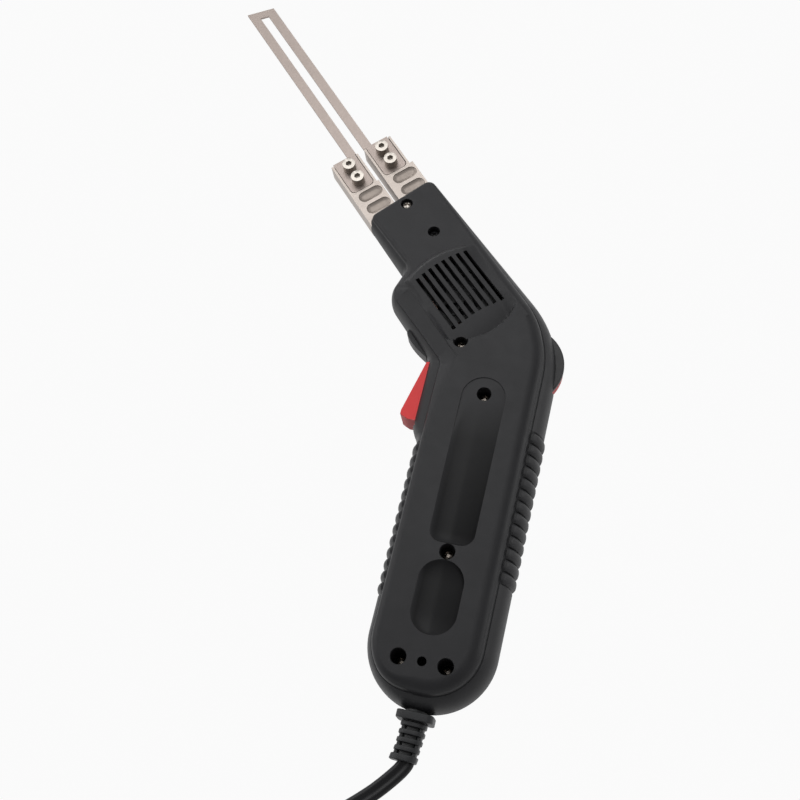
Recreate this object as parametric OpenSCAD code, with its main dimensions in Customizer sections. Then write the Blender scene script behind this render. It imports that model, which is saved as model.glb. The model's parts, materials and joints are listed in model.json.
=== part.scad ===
// Electric hot knife, lying on the label plate of its right shell.
// Origin at the middle of the plate's underside; +Y runs up the grip to the head, +X is the back, +Z is up.
// The two shells part on a level plane half the grip's thickness above the origin.

/* [Grip] */
// Width of the grip across its straight sides
grip_w = 60.6; // [56:0.2:70]
// Thickness of the grip over both shells
grip_t = 36; // [34:0.5:42]
// Origin to the middle of the round end
grip_low = 65.3; // [62:0.1:80]
// Origin to the point where the grip and nose axes cross
bend_y = 85; // [82:0.5:95]
// Angle between the grip and nose axes
bend_angle = 43.7; // [40:0.1:46]
// Radius of the back of the bend
back_bend_r = 58; // [50:1:62]
// Grip axis to the front wall beside the trigger
trigger_wall = 33.6; // [32.6:0.1:36]
// Origin to the foot of the trigger wall
step_y = 36; // [33:0.5:38]
// Length of the slope from the trigger wall to the grip side
step_l = 7; // [6:0.5:9]

/* [Head] */
// Axis crossing to the end of the nose
nose_len = 102; // [101:0.5:103]
// Nose axis to the front side of the nose
nose_front = 18.9; // [18.6:0.1:22]
// Nose axis to the back side of the nose, at its end
nose_back = 23.6; // [23:0.1:26]
// Widening of the nose's back side towards the bend, in degrees
nose_taper = 2.6; // [1:0.1:4]
// Thickness of the nose at its end
nose_t = 17.6; // [17:0.2:22]
// Nose axis to the front of the fan bulge
bulge_front = 33; // [32:0.1:36]
// Axis crossing to the shoulder of the fan bulge
shoulder_y = 63.5; // [62:0.5:68]
// Fall of the shoulder from the nose to the bulge
shoulder_fall = 8; // [6:0.5:9]
// Radius of the shoulder
shoulder_r = 12; // [11.5:0.5:13]
// Radius of the nose's end corners
nose_corner_r = 5.5; // [5.5:0.5:8]

/* [Shells] */
// Wall of the shells
wall = 2.4; // [2:0.1:2.8]
// Height of the upright side above the parting plane
side_h = 5; // [3:0.5:6]
// Height of the panel line above the parting plane
line_h = 12.4; // [11:0.2:13]
// Distance of the panel line from the outline
line_inset = 5.6; // [4.5:0.1:6]
// Distance of the panel's flat from the outline
crown_inset = 9.6; // [8:0.1:10]
// Thickness of the label plate that the tool lies on
rest_h = 0.4; // [0.2:0.1:0.8]
// Width of the label plate
rest_w = 38; // [30:1:40]
// Length of the label plate
rest_l = 120; // [100:1:124]
// Share of the edge insets left at the nose's end
nose_inset_share = 0.22; // [0.2:0.01:0.3]

/* [Ribs] */
// Pitch of the grip ribs
rib_pitch = 6.2; // [5.4:0.1:6.2]
// Height of a rib over its groove
rib_h = 0.9; // [0.4:0.1:1.2]
// Height of a rib over the grip side
rib_proud = 0.3; // [0.1:0.1:0.5]
// Number of ribs on each side
rib_count = 12; // [8:1:12]
// Lowest rib on the front side, from the origin
front_rib_y = -48; // [-55:1:-48]
// Lowest rib on the back side, from the origin
back_rib_y = -33; // [-45:1:-20]

/* [Housing screws] */
// Radius of the screw wells
well_r = 3.5; // [3.2:0.1:3.8]
// Radius of the bosses round the wells
boss_r = 4.5; // [4.3:0.1:4.8]
// Radius of the screw shanks
shank_r = 1.4; // [1.2:0.1:1.6]
// Radius of the screw heads
head_r = 2.9; // [2.6:0.1:3]
// Height of the screw heads
head_h = 2; // [1.5:0.1:2.4]
// Depth of the screws below the parting plane
shank_reach = 5.5; // [4:0.5:6]
// Depth of the head tops in the wells of the round end
end_well = 12.5; // [10:0.5:13]
// Depth of the head tops in the wells of the grip and head
grip_well = 6; // [5:0.5:8]
// Depth of the head tops in the wells of the nose
nose_well = 1.3; // [1:0.1:2]
// Half the distance between the wells of the round end
end_well_x = 10.6; // [10:0.1:12]
// Origin to the wells of the round end
end_well_y = -75; // [-77:0.5:-72]
// Origin to the lower well of the grip
low_well_y = -25; // [-27:0.5:-24]
// Origin to the upper well of the grip
mid_well_y = 54; // [53:0.5:56]

/* [Vents] */
// Number of vent slots
vent_count = 8; // [5:1:8]
// Pitch of the vent slots
vent_pitch = 4.15; // [3.6:0.05:4.3]
// Width of a vent slot
vent_w = 1.7; // [1.2:0.1:2.2]
// Length of a vent slot
vent_l = 32; // [26:1:34]
// Axis crossing to the middle of the vents
vent_along = 36.5; // [35:0.5:38]
// Nose axis to the middle of the vents, towards the front
vent_off = 2.2; // [1:0.1:3]
// Radius of the arc that the slot ends follow
vent_arc_r = 62; // [50:1:90]
// Width of the vent plate
plate_w = 38; // [35:0.5:39]
// Length of the vent plate
plate_l = 42; // [38:0.5:44]
// Height of the vent plate over the parting plane, at its middle
plate_h = 15; // [14.6:0.1:15.2]
// Tilt of the vent plate down the nose, in degrees
plate_tilt = 2.5; // [2:0.1:3.5]

/* [Thumb scoops] */
// Half width of the scoops
scoop_r = 10.2; // [9.5:0.1:10.5]
// Depth of the long scoop at its lower end
scoop_deep = 4.8; // [3:0.1:5]
// Depth of the long scoop at its upper end
scoop_shallow = 0.5; // [0.3:0.1:1]
// Lower end of the long scoop, from the origin
long_scoop_low = -20; // [-20.5:0.5:-10]
// Upper end of the short scoop, from the origin
short_scoop_top = -30.5; // [-34:0.5:-29.5]
// Lower end of the short scoop, from the origin
short_scoop_low = -63.5; // [-66:0.5:-60]
// Depth of the short scoop
short_scoop_deep = 4; // [3:0.1:5]

/* [Blade] */
// Thickness of the blade
blade_t = 1.2; // [1:0.1:1.6]
// Width over both legs of the blade
blade_w = 15.3; // [14:0.1:17]
// Width of the slot between the legs
blade_slot = 4.8; // [3:0.1:5]
// Clamp blocks' end to the front corner of the tip
blade_l = 124.5; // [97:0.5:147]
// Slant of the tip, back corner behind front corner
tip_slant = 4.4; // [2:0.1:6]
// Width of the bridge that joins the legs at the tip
tip_bridge = 6.6; // [5:0.1:9]
// Width of a blade tab
tab_w = 13.3; // [12.4:0.1:13.6]
// Length of a blade tab
tab_l = 21.5; // [20:0.5:23]
// Rounding of the tab corners
tab_round = 2.5; // [1:0.1:3]

/* [Clamp blocks] */
// Width of a clamp block
block_w = 16.5; // [16.2:0.1:16.8]
// Gap between the clamp blocks
block_gap = 4; // [3.8:0.1:4.2]
// Thickness of a clamp block
block_t = 10; // [9.6:0.1:10]
// Reach of the blocks out of the nose
block_l = 41; // [39:0.5:44]
// Depth of the tab recess in a block
recess_d = 1.5; // [1.2:0.1:2]
// Gap round a tab in its recess
recess_gap = 0.4; // [0.2:0.05:0.5]
// Width of the shank inside the nose, front block
front_shank_w = 10; // [8:0.1:10.4]
// Width of the shank inside the nose, rear block
rear_shank_w = 6.4; // [5:0.1:6.8]
// Axis crossing to the inner end of the shanks
shank_in = 62; // [60:0.5:66]
// Length of a cooling pocket across the block
pocket_l = 13.8; // [11:0.1:14]
// Width of a cooling pocket along the block
pocket_w = 6.6; // [5:0.1:6.8]
// Depth of a cooling pocket
pocket_d = 3.2; // [2:0.1:4]
// Pitch of the cooling pockets
pocket_pitch = 8.8; // [8.2:0.1:9]
// End of the nose to the outer cooling pocket
pocket_out = 14.1; // [13.6:0.1:14.2]
// Radius of the blade screw heads
cap_r = 3.5; // [3:0.1:3.6]
// Height of the blade screw heads
cap_h = 4; // [3:0.1:4.5]
// Radius of the blade screw threads
cap_thread_r = 2; // [1.6:0.1:2.1]
// Distance between the two screws of a tab
cap_pitch = 9.6; // [9:0.1:10]
// Outer end of the block to its first screw
cap_inset = 6.2; // [5.6:0.1:7]
// Thickness of a spring washer
washer_t = 0.9; // [0.6:0.1:1.2]

/* [Trigger] */
// Grip axis to the trigger's pivot, towards the front
pivot_x = 28.5; // [28.2:0.1:29]
// Origin to the trigger's pivot
pivot_y = 68.5; // [68:0.5:69]
// Radius of the trigger's pin
pivot_r = 1.5; // [1.2:0.1:1.6]
// Width of the trigger
trigger_t = 14; // [12:0.2:14.4]
// Reach of the trigger out of the wall, near its foot
trigger_out = 6.4; // [5.6:0.1:7]
// Origin to the foot of the trigger
trigger_foot = 38.5; // [38:0.1:39]
// Grip axis to the inner face of the trigger
trigger_in = 25.5; // [25:0.1:26]
// Travel of the trigger, in degrees
trigger_travel = 8; // [4:0.5:8]

/* [Lock button] */
// Length of the lock button
lock_l = 17.4; // [14:0.2:17.6]
// Width of the lock button
lock_t = 9; // [7:0.2:9.4]
// Height of the button over the bulge
lock_out = 2.9; // [2.6:0.1:3.4]
// Axis crossing to the middle of the button
lock_along = 25; // [24.8:0.1:28]
// Travel of the button
lock_travel = 2.4; // [1.5:0.1:2.6]

/* [Dial] */
// Radius of the dial
dial_r = 21; // [19:0.1:21.5]
// Thickness of the dial
dial_t = 8; // [6:0.2:8]
// Thickness of the dial's black flange
flange_t = 2.6; // [2:0.1:3]
// Grip axis to the dial's axis
dial_x = 12; // [11:0.1:13]
// Origin to the dial's axis
dial_y = 79; // [78:0.5:81]
// Radius of the dial's shaft
dial_shaft_r = 3; // [2:0.1:3]

/* [Fan] */
// Side of the fan frame
fan_w = 30; // [26:0.5:30]
// Thickness of the fan frame
fan_t = 9; // [8:0.2:9.4]
// Radius of the fan's bore
fan_bore_r = 13.4; // [12:0.1:13.6]
// Radius of the fan's hub
fan_hub_r = 6; // [5:0.1:7]
// Radius of the fan's axle
fan_axle_r = 1; // [0.8:0.1:1.5]
// Number of fan blades
fan_blades = 7; // [5:1:9]

/* [Transformer] */
// Width of the transformer core
core_w = 34; // [30:0.5:36]
// Length of the transformer core
core_l = 42; // [36:0.5:44]
// Height of the transformer core
core_h = 23; // [20:0.5:24]
// Origin to the middle of the core
core_y = 14; // [13:0.5:16]
// Window of the core along the grip
window_l = 9; // [7:0.5:10]
// Width of a secondary bar
bar_w = 6; // [5:0.1:6.2]
// Thickness of a secondary bar
bar_t = 3; // [2:0.1:3]

/* [Board] */
// Width of the control board
board_w = 32; // [26:0.5:34]
// Length of the control board
board_l = 28; // [24:0.5:28.5]
// Thickness of the control board
board_t = 1.6; // [1:0.1:2]
// Origin to the middle of the board
board_y = -46.5; // [-47:0.5:-46]
// Height of the board's top under the parting plane
board_drop = 6; // [5:0.5:7]

/* [Cord] */
// Width of the flat twin cord
cord_w = 7.4; // [6:0.1:7.6]
// Thickness of the flat twin cord
cord_t = 3.7; // [3:0.1:3.8]
// Length of the strain relief outside the housing
boot_l = 20.5; // [20:0.5:21]
// Radius of the strain relief
boot_r = 5.9; // [5.6:0.1:6.4]
// Radius of the strain relief's flange
boot_flange_r = 8.3; // [7:0.1:9]
// Number of ribs on the strain relief
boot_ribs = 5; // [4:1:6]
// Largest radius of the coil, at the middle of the cord
coil_r = 52; // [50:0.5:54]
// Distance between turns side by side
coil_pitch = 8; // [7.9:0.1:8.2]
// Distance between the coil's two layers
coil_rise = 4.3; // [4.2:0.1:4.6]
// Thickness of the tie
tie_t = 0.7; // [0.5:0.1:1]
// Width of the tie
tie_w = 9; // [6:0.5:12]
// Length of the plug's body
plug_l = 36; // [30:1:44]
// Width of the plug's body
plug_w = 26; // [25:0.5:30]
// Height of the plug's body
plug_h = 13.6; // [13:0.1:14]
// Radius of the plug's pins
pin_r = 2; // [1.8:0.1:2.4]
// Length of the plug's pins
pin_l = 19; // [17:0.5:20]
// Distance between the plug's pins
pin_pitch = 18.6; // [17:0.1:19]

/* [Hidden] */
$fn = 48;

// Colours of the pieces
charcoal = [0.21, 0.21, 0.22];
near_black = [0.1, 0.1, 0.11];
red = [0.8, 0.16, 0.15];
steel = [0.7, 0.68, 0.65];
silver = [0.8, 0.77, 0.73];
copper = [0.72, 0.43, 0.27];
phenolic = [0.45, 0.3, 0.18];
board_green = [0.1, 0.35, 0.2];

// Clearances
overrun = 1;
seat_gap = 0.3;
running_gap = 0.05;
guide_gap = 0.4;

// Housing
grip_r = grip_w / 2;
mid_z = grip_t / 2;
roof_h = mid_z - rest_h;
roof_in = roof_h - wall;
crown_in_share = 2 / 3;
crown_in = crown_inset + wall * crown_in_share;
shell_sides = 18;
slice = 0.2;
draft = 0.4;
slant_step = 0.5;
lift_step = 1;
notch_r = 3;
elbow_r = 3;
step_r = 14;
step_hollow_r = 8;
arc_steps = 6;
edge_steps = 3;
cavity_steps = 2;
rib_crest_shares = [0.2, 0.8];
rib_fade_shares = [1, 1, 1, 0.6, 0, 0, 0];

function turned(p, angle) = [p[0] * cos(angle) - p[1] * sin(angle), p[0] * sin(angle) + p[1] * cos(angle)];
function unit(v) = v / norm(v);
function across(u, v) = u[0] * v[1] - u[1] * v[0];
// A point of the head from its distances off and along the nose axis
function head_point(off, along) = [0, bend_y] + turned([off, along], bend_angle);
// Where the line through two points has the given x
function at_x(p, q, x) = p + (q - p) * (x - p[0]) / (q[0] - p[0]);

// Corners of the housing's outline with their radii, anticlockwise from the round end's back
bottom_y = -grip_low - grip_r;
back_line = [head_point(nose_back, nose_len), head_point(nose_back + nose_len * tan(nose_taper), 0)];
bulge_line = [head_point(-bulge_front, 0), head_point(-bulge_front, nose_len)];
corners = [
    [grip_r, bottom_y],
    at_x(back_line[0], back_line[1], grip_r),
    back_line[0],
    head_point(-nose_front, nose_len),
    head_point(-nose_front, shoulder_y),
    head_point(-bulge_front, shoulder_y - shoulder_fall),
    at_x(bulge_line[0], bulge_line[1], -trigger_wall),
    [-trigger_wall, step_y],
    [-grip_r, step_y - step_l],
    [-grip_r, bottom_y]];
corner_rs = [grip_r, back_bend_r, nose_corner_r, nose_corner_r, notch_r, shoulder_r, elbow_r, step_r,
    step_hollow_r, grip_r];
back_bend = 1;
elbow = 6;
front_ribs_after = 8;

// Points [x, y, outward x, outward y, rib] round one corner
function corner_points(i) = let(
    n = len(corners),
    a = corners[(i + n - 1) % n], b = corners[i], c = corners[(i + 1) % n],
    u = unit(a - b), v = unit(c - b),
    half = acos(u * v) / 2,
    bulges = across(b - a, c - b) > 0 ? 1 : -1,
    centre = b + unit(u + v) * corner_rs[i] / sin(half),
    out = (b + u * corner_rs[i] / tan(half) - centre) * bulges,
    first = atan2(out[1], out[0]))
    [for (k = [0:arc_steps]) let(
        angle = first + bulges * (180 - 2 * half) * k / arc_steps,
        normal = [cos(angle), sin(angle)],
        p = centre + normal * bulges * corner_rs[i])
        [p[0], p[1], normal[0], normal[1], 0]];

// Points of a row of ribs up one side of the grip
function rib_points(side, low) = concat(
    [for (k = [0:rib_count - 1]) each [
        [side * grip_r, low + k * rib_pitch, side, 0, rib_proud - rib_h],
        for (s = rib_crest_shares) [side * grip_r, low + (k + s) * rib_pitch, side, 0, rib_proud]]],
    [[side * grip_r, low + rib_count * rib_pitch, side, 0, rib_proud - rib_h]]);
function backwards(list) = [for (k = [len(list) - 1:-1:0]) list[k]];

plain_outline = [for (i = [0:len(corners) - 1]) each corner_points(i)];
ribbed_outline = [for (i = [0:len(corners) - 1]) each concat(
    corner_points(i),
    i == 0 ? rib_points(1, back_rib_y) : [],
    i == front_ribs_after ? backwards(rib_points(-1, front_rib_y)) : [])];
rib_points_per_side = rib_count * (1 + len(rib_crest_shares)) + 1;

// The mitre, from the elbow to the back of the bend, where the panel starts to slope to the nose
function inset_point(p, d) = [p[0] - p[2] * d, p[1] - p[3] * d];
function mid_arc(i) = (i * (arc_steps + 1)) + arc_steps / 2;
mitre_front = inset_point(plain_outline[mid_arc(elbow)], crown_inset);
mitre_back = inset_point(plain_outline[mid_arc(back_bend)], crown_inset);
mitre_dir = unit(mitre_back - mitre_front);
function past_mitre(p) = across(mitre_dir, [p[0], p[1]] - mitre_front);
nose_reach = past_mitre(head_point((nose_back - nose_front) / 2, nose_len));
function slope_share(p) = 1 - max(0, past_mitre(p)) / nose_reach * (1 - nose_t / 2 / roof_h);
// Height of the panel over the parting plane
function roof_at(p) = roof_h * slope_share(p);

function loft_point(p, level, fade) = let(
    narrow = 1 - (1 - nose_inset_share) * min(1, max(0, past_mitre(p)) / nose_reach),
    q = inset_point(p, level[0] + level[1] * narrow - p[4] * fade))
    [q[0], q[1], level[2] * slope_share(q)];

// Wall, edge inset and height of each level of the outer skin; the edge inset narrows along the nose
edge_turn = 90;
skin_levels = concat(
    [[0, 0, 0]],
    [for (k = [0:edge_steps]) let(t = edge_turn * k / edge_steps)
        [0, line_inset * (1 - cos(t)), side_h + (line_h - side_h) * sin(t)]],
    [[0, line_inset + slant_step, line_h + lift_step], [0, crown_inset, roof_h]]);
// The same for the hollow, whose wall does not narrow
hollow_turn = 80;
hollow_levels = concat(
    [[wall, 0, -overrun]],
    [for (k = [0:cavity_steps]) let(t = hollow_turn * k / cavity_steps)
        [wall, line_inset * (1 - cos(t)), side_h - wall / 2 + (line_h - side_h - wall / 2) * sin(t)]],
    [[wall, crown_in - wall, roof_in]]);

// A closed skin over the levels, with its flat split along the mitre
module loft(outline, levels, fades, turn_back, turn_front) {
    n = len(outline);
    top = (len(levels) - 1) * n;
    points = [for (k = [0:len(levels) - 1]) for (p = outline) loft_point(p, levels[k], fades[k])];
    sides = [for (k = [0:len(levels) - 2]) for (i = [0:n - 1]) let(
        a = k * n + i, b = k * n + (i + 1) % n) each [[a + n, b + n, b], [a + n, b, a]]];
    nose_cap = [for (i = [turn_front:-1:turn_back]) top + i];
    grip_cap = [for (i = [turn_back + n:-1:turn_front]) top + i % n];
    base = [for (i = [0:n - 1]) i];
    polyhedron(points, concat([base], sides, [nose_cap, grip_cap]), convexity = 10);
}
module outer_skin() {
    shift = rib_points_per_side;
    loft(ribbed_outline, skin_levels, rib_fade_shares, mid_arc(back_bend) + shift, mid_arc(elbow) + shift);
}
module hollow() {
    no_ribs = [for (k = hollow_levels) 0];
    loft(plain_outline, hollow_levels, no_ribs, mid_arc(back_bend), mid_arc(elbow));
}

module seated() { translate([0, 0, mid_z]) children(); }
module at_head() { translate([0, bend_y, mid_z]) rotate(bend_angle) children(); }
// A flat-sided bar with round ends along Y
module stadium(low, high, r, h) {
    translate([-r, low + r, 0]) cube([2 * r, high - low - 2 * r, h]);
    translate([0, low + r, 0]) cylinder(r = r, h = h);
    translate([0, high - r, 0]) cylinder(r = r, h = h);
}
module box(low, high) { translate(low) cube(high - low); }

// Screw places: [x, y, depth of the head's top]
vent_well_off = -16.6;
vent_well_along = 8.6;
nose_well_offs = [3.2, 5.8];
nose_well_in = 5.6;
nose_well_step = 22.4;
vent_well = head_point(vent_well_off, vent_well_along);
nose_wells = [for (k = [0, 1]) head_point(nose_well_offs[k], nose_len - nose_well_in - k * nose_well_step)];
sites = [
    [-end_well_x, end_well_y, end_well], [end_well_x, end_well_y, end_well],
    [0, low_well_y, grip_well], [0, mid_well_y, grip_well],
    [vent_well[0], vent_well[1], grip_well],
    for (w = nose_wells) [w[0], w[1], nose_well]];
nose_site = 5;
nose_boss_r = 3.4;
nose_well_r = 2.7;
nose_head_r = 2.4;
function is_nose(i) = i >= nose_site;
function site_boss_r(i) = is_nose(i) ? nose_boss_r : boss_r;
function seat_at(s) = roof_at(s) - s[2] - head_h;
module at_site(s) { translate([s[0], s[1], 0]) children(); }

// Inner height of the shells at a place
function ceiling_at(p) = roof_in * slope_share(p);
boss_bite_share = 0.4;
function boss_top(p) = ceiling_at(p) + (roof_at(p) - ceiling_at(p)) * boss_bite_share;

// A post with draft, widest at its root
module drafted(r, h) {
    hull() {
        cylinder(r = r, h = slice);
        translate([0, 0, h - slice]) cylinder(r = r + draft, h = slice);
    }
}
module bosses() {
    for (i = [0:len(sites) - 1]) at_site(sites[i]) drafted(site_boss_r(i), boss_top(sites[i]));
}
module wells() {
    for (i = [0:len(sites) - 1]) at_site(sites[i]) {
        seat = seat_at(sites[i]);
        translate([0, 0, -overrun]) cylinder(r = shank_r + running_gap, h = seat + 2 * overrun);
        translate([0, 0, seat]) cylinder(r = is_nose(i) ? nose_well_r : well_r, h = roof_h);
    }
    small_well_r = 2.1;
    translate([0, end_well_y, roof_h - small_well_d]) cylinder(r = small_well_r, h = grip_t);
}
small_well_d = 2;

// Vents: the frame of the tilted plate, then its body, the cut over it and its slots
module on_plate() {
    translate([-vent_off, vent_along, plate_h]) rotate([-plate_tilt, 0, 0]) children();
}
plate_arc_r = 40;
plate_arc_off = 17;
module plate_shape(h) {
    intersection() {
        translate([-plate_w / 2, -plate_l / 2, 0]) cube([plate_w, plate_l, h]);
        translate([0, -plate_arc_off, 0]) cylinder(r = plate_arc_r, h = h);
    }
}
module vent_plate() { on_plate() translate([0, 0, -wall]) plate_shape(wall); }
// The dish is a shallow oval below the plate
dish_along = 14;
dish_off = 1.5;
dish_r = 15.5;
dish_d = 1.4;
dish_shares = [1, 0.68, 1];
dish_floor_share = 0.5;
module vent_cut() {
    on_plate() plate_shape(mid_z);
    p = head_point(dish_off, dish_along - dish_r / 2);
    translate([dish_off, dish_along, roof_at(p) - dish_d]) scale(dish_shares)
        cylinder(r1 = dish_r * dish_floor_share, r2 = dish_r * (2 - dish_floor_share), h = 2 * dish_d);
}
module vent_slots() {
    on_plate() for (k = [0:vent_count - 1]) {
        x = (k - (vent_count - 1) / 2) * vent_pitch;
        y = sqrt(vent_arc_r * vent_arc_r - x * x) - vent_arc_r;
        translate([x - vent_w / 2, y - vent_l / 2, -mid_z / 2]) cube([vent_w, vent_l, mid_z]);
    }
}

// Thumb scoops of the left shell and the floors under them
scoop_over = 8.5;
scoop_floor_share = 0.8;
long_scoop_top = mid_well_y + scoop_over;
scoop_floor = wall * scoop_floor_share;
// A bowl sunk in the panel, wider and deeper by the given growth
module bowl(y, depth, grow) {
    r = scoop_r + grow;
    translate([0, y, roof_h]) scale([1, 1, (depth + grow) / r]) sphere(r = r);
}
module scoop(low, high, low_depth, high_depth, grow) {
    hull() {
        bowl(low + scoop_r, low_depth, grow);
        bowl(high - scoop_r, high_depth, grow);
    }
}
module scoops(grow) {
    scoop(long_scoop_low, long_scoop_top, scoop_deep, scoop_shallow, grow);
    scoop(short_scoop_low, short_scoop_top, short_scoop_deep, short_scoop_deep, grow);
}
module scoop_floors() {
    intersection() {
        scoops(scoop_floor);
        box([-grip_r, bottom_y, 0], [grip_r, bend_y, boss_top([0, 0])]);
    }
}

// Openings that both shells share
trigger_slot_t = trigger_t + 2 * guide_gap;
slot_over = 2.6;
slot_under = 2.4;
trigger_slot_top = pivot_y + slot_over;
trigger_slot_low = trigger_foot - slot_under;
module shared_cuts() {
    box([-trigger_wall - trigger_out, trigger_slot_low, -trigger_slot_t / 2],
        [-trigger_wall + 2 * wall, trigger_slot_top, trigger_slot_t / 2]);
    translate([dial_x, dial_y, -dial_t / 2 - guide_gap])
        cylinder(r = dial_r + 2 * guide_gap, h = dial_t + 2 * guide_gap, $fn = 2 * shell_sides);
    translate([0, bend_y, 0]) rotate(bend_angle) {
        lock_cut();
        shank_cut(front_shank_x, front_shank_w);
        shank_cut(rear_shank_x, rear_shank_w);
    }
    translate([0, bottom_y + wall + overrun, 0]) rotate([90, 0, 0])
        cylinder(r = neck_r + seat_gap, h = wall + 2 * overrun + line_inset);
}
module lock_cut() {
    box([-bulge_front - lock_out, lock_along - lock_l / 2 - guide_gap, -lock_t / 2 - guide_gap],
        [-bulge_front + wall + guide_gap, lock_along + lock_l / 2 + guide_gap, lock_t / 2 + guide_gap]);
}
module shank_cut(x, w) {
    box([x - w / 2 - seat_gap, nose_len - 2 * wall, -block_t / 2 - seat_gap],
        [x + w / 2 + seat_gap, nose_len + overrun, block_t / 2 + seat_gap]);
}
// Seats of the trigger's pin beside the trigger
pin_seat_r = 3;
pin_half = 9.4;
pin_seat_top = 10;
module pin_seat() {
    translate([-pivot_x, pivot_y, trigger_slot_t / 2]) cylinder(r = pin_seat_r, h = pin_seat_top - trigger_slot_t / 2);
}
module pin_bore() {
    translate([-pivot_x, pivot_y, 0]) cylinder(r = pivot_r + running_gap / 2, h = pin_half + running_gap);
}
fan_post_r = 2.2;
fan_post_in = 3.2;
fan_post_x = fan_w / 2 - fan_post_in;
fan_mid = head_point(-vent_off, vent_along);
fan_low = 0;
fan_top = fan_low + fan_t;
module fan_posts() {
    translate([0, bend_y, 0]) rotate(bend_angle) for (x = [-1, 1]) for (y = [-1, 1]) {
        px = -vent_off + x * fan_post_x;
        py = vent_along + y * fan_post_x;
        top = min(boss_top(head_point(px, py)), plate_h - wall / 2);
        translate([px, py, fan_top]) cylinder(r = fan_post_r, h = top - fan_top);
    }
}

module left_shell() {
    $fn = shell_sides;
    color(charcoal) seated() difference() {
        union() {
            difference() {
                outer_skin();
                hollow();
            }
            bosses();
            scoop_floors();
            fan_posts();
            pin_seat();
            translate([0, bend_y, 0]) rotate(bend_angle) vent_plate();
        }
        wells();
        scoops(0);
        pin_bore();
        translate([0, bend_y, 0]) rotate(bend_angle) {
            vent_cut();
            vent_slots();
        }
        shared_cuts();
    }
}

// Posts and ribs that carry the inner pieces on the right shell
spring_post_x = -19.5;
spring_post_t = 2;
spring_y = 46;
spring_post_w = 8;
lock_post_x = -20;
lock_post_t = 1.6;
lock_post_w = 8;
spring_post_h = 4;
floor_z = -roof_in;
core_low = floor_z;
board_top_z = -board_drop;
board_post_r = 2.4;
board_post_in = 3;
board_post_x = board_w / 2 - board_post_in;
board_post_y = board_l / 2 - board_post_in;
post_bite = 0.8;
clamp_y = -65.5;
clamp_w = 6;
clamp_x = 9;
clamp_post_r = 2.6;
clamp_low = cord_t / 2;
switch_w = 13;
switch_l = 15;
switch_h = 9.6;
switch_y = 58.5;
switch_x = -12.5;
switch_low = -4.6;
pot_r = 8.5;
pot_gap = 1;
pot_top = -dial_t / 2 - pot_gap;
pot_post_r = 7;
pot_h = 7;
pot_low = pot_top - pot_h;
insulator_in = 17;
insulator_y = nose_len - insulator_in;
insulator_l = 14;
module cradle(x, y, w, l, top) { box([x - w / 2, y - l / 2, floor_z - post_bite], [x + w / 2, y + l / 2, top]); }
cradle_w = 2.4;
module floor_post(x, y, r, top) {
    translate([x, y, top]) mirror([0, 0, 1]) drafted(r, top - floor_z + post_bite);
}
module right_posts() {
    cradle(spring_post_x + spring_post_t / 2, spring_y, spring_post_t, spring_post_w, spring_post_h);
    for (x = [-1, 1]) for (y = [-1, 1])
        floor_post(x * board_post_x, board_y + y * board_post_y, board_post_r, board_top_z - board_t);
    for (x = [-1, 1]) floor_post(x * clamp_x, clamp_y, clamp_post_r, clamp_low);
    cradle(switch_x - switch_w / 2 + cradle_w, switch_y, cradle_w, switch_l, switch_low);
    translate([dial_x, dial_y, -ceiling_at([dial_x, dial_y]) - post_bite])
        cylinder(r = pot_post_r, h = pot_low + ceiling_at([dial_x, dial_y]) + post_bite);
    translate([0, bend_y, 0]) rotate(bend_angle) {
        lock_floor = ceiling_at(head_point(lock_post_x, lock_along)) + post_bite;
        box([lock_post_x, lock_along - lock_post_w / 2, -lock_floor],
            [lock_post_x + lock_post_t, lock_along + lock_post_w / 2, spring_post_h]);
        ins_floor = ceiling_at(head_point(0, insulator_y)) + post_bite / 2;
        box([insulator_x - cradle_w, insulator_y - insulator_l / 4, -ins_floor],
            [insulator_x + cradle_w, insulator_y + insulator_l / 4, -block_t / 2]);
    }
}
module right_shell() {
    $fn = shell_sides;
    color(charcoal) seated() difference() {
        union() {
            mirror([0, 0, 1]) {
                difference() {
                    outer_skin();
                    hollow();
                }
                bosses();
                pin_seat();
                translate([0, bend_y, 0]) rotate(bend_angle) vent_plate();
            }
            right_posts();
        }
        for (s = sites) at_site(s) translate([0, 0, -shank_reach - overrun])
            cylinder(r = shank_r + running_gap, h = shank_reach + 2 * overrun);
        for (x = [-1, 1]) translate([x * clamp_x, clamp_y, clamp_low - clamp_screw_l])
            cylinder(r = clamp_screw_r + running_gap, h = clamp_screw_l + overrun);
        mirror([0, 0, 1]) {
            pin_bore();
            translate([0, bend_y, 0]) rotate(bend_angle) {
                on_plate() plate_shape(mid_z);
                vent_slots();
            }
        }
        shared_cuts();
    }
}

module label_plate() { color(near_black) stadium(-rest_l / 2, rest_l / 2, rest_w / 2, rest_h); }

// A pan head with a cross recess
cross_w_share = 0.28;
cross_d_share = 0.6;
module pan_screw(r, h, thread_r, reach) {
    difference() {
        union() {
            cylinder(r = r, h = h);
            translate([0, 0, -reach]) cylinder(r = thread_r, h = reach + h / 2);
        }
        for (a = [0, 90]) rotate(a) translate([-r / 2, -r * cross_w_share / 2, h * (1 - cross_d_share)])
            cube([r, r * cross_w_share, h]);
    }
}
module shell_screws() {
    color(steel) seated() for (i = [0:len(sites) - 1]) at_site(sites[i])
        translate([0, 0, seat_at(sites[i])])
            pan_screw(is_nose(i) ? nose_head_r : head_r, head_h, shank_r, seat_at(sites[i]) + shank_reach);
}

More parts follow.
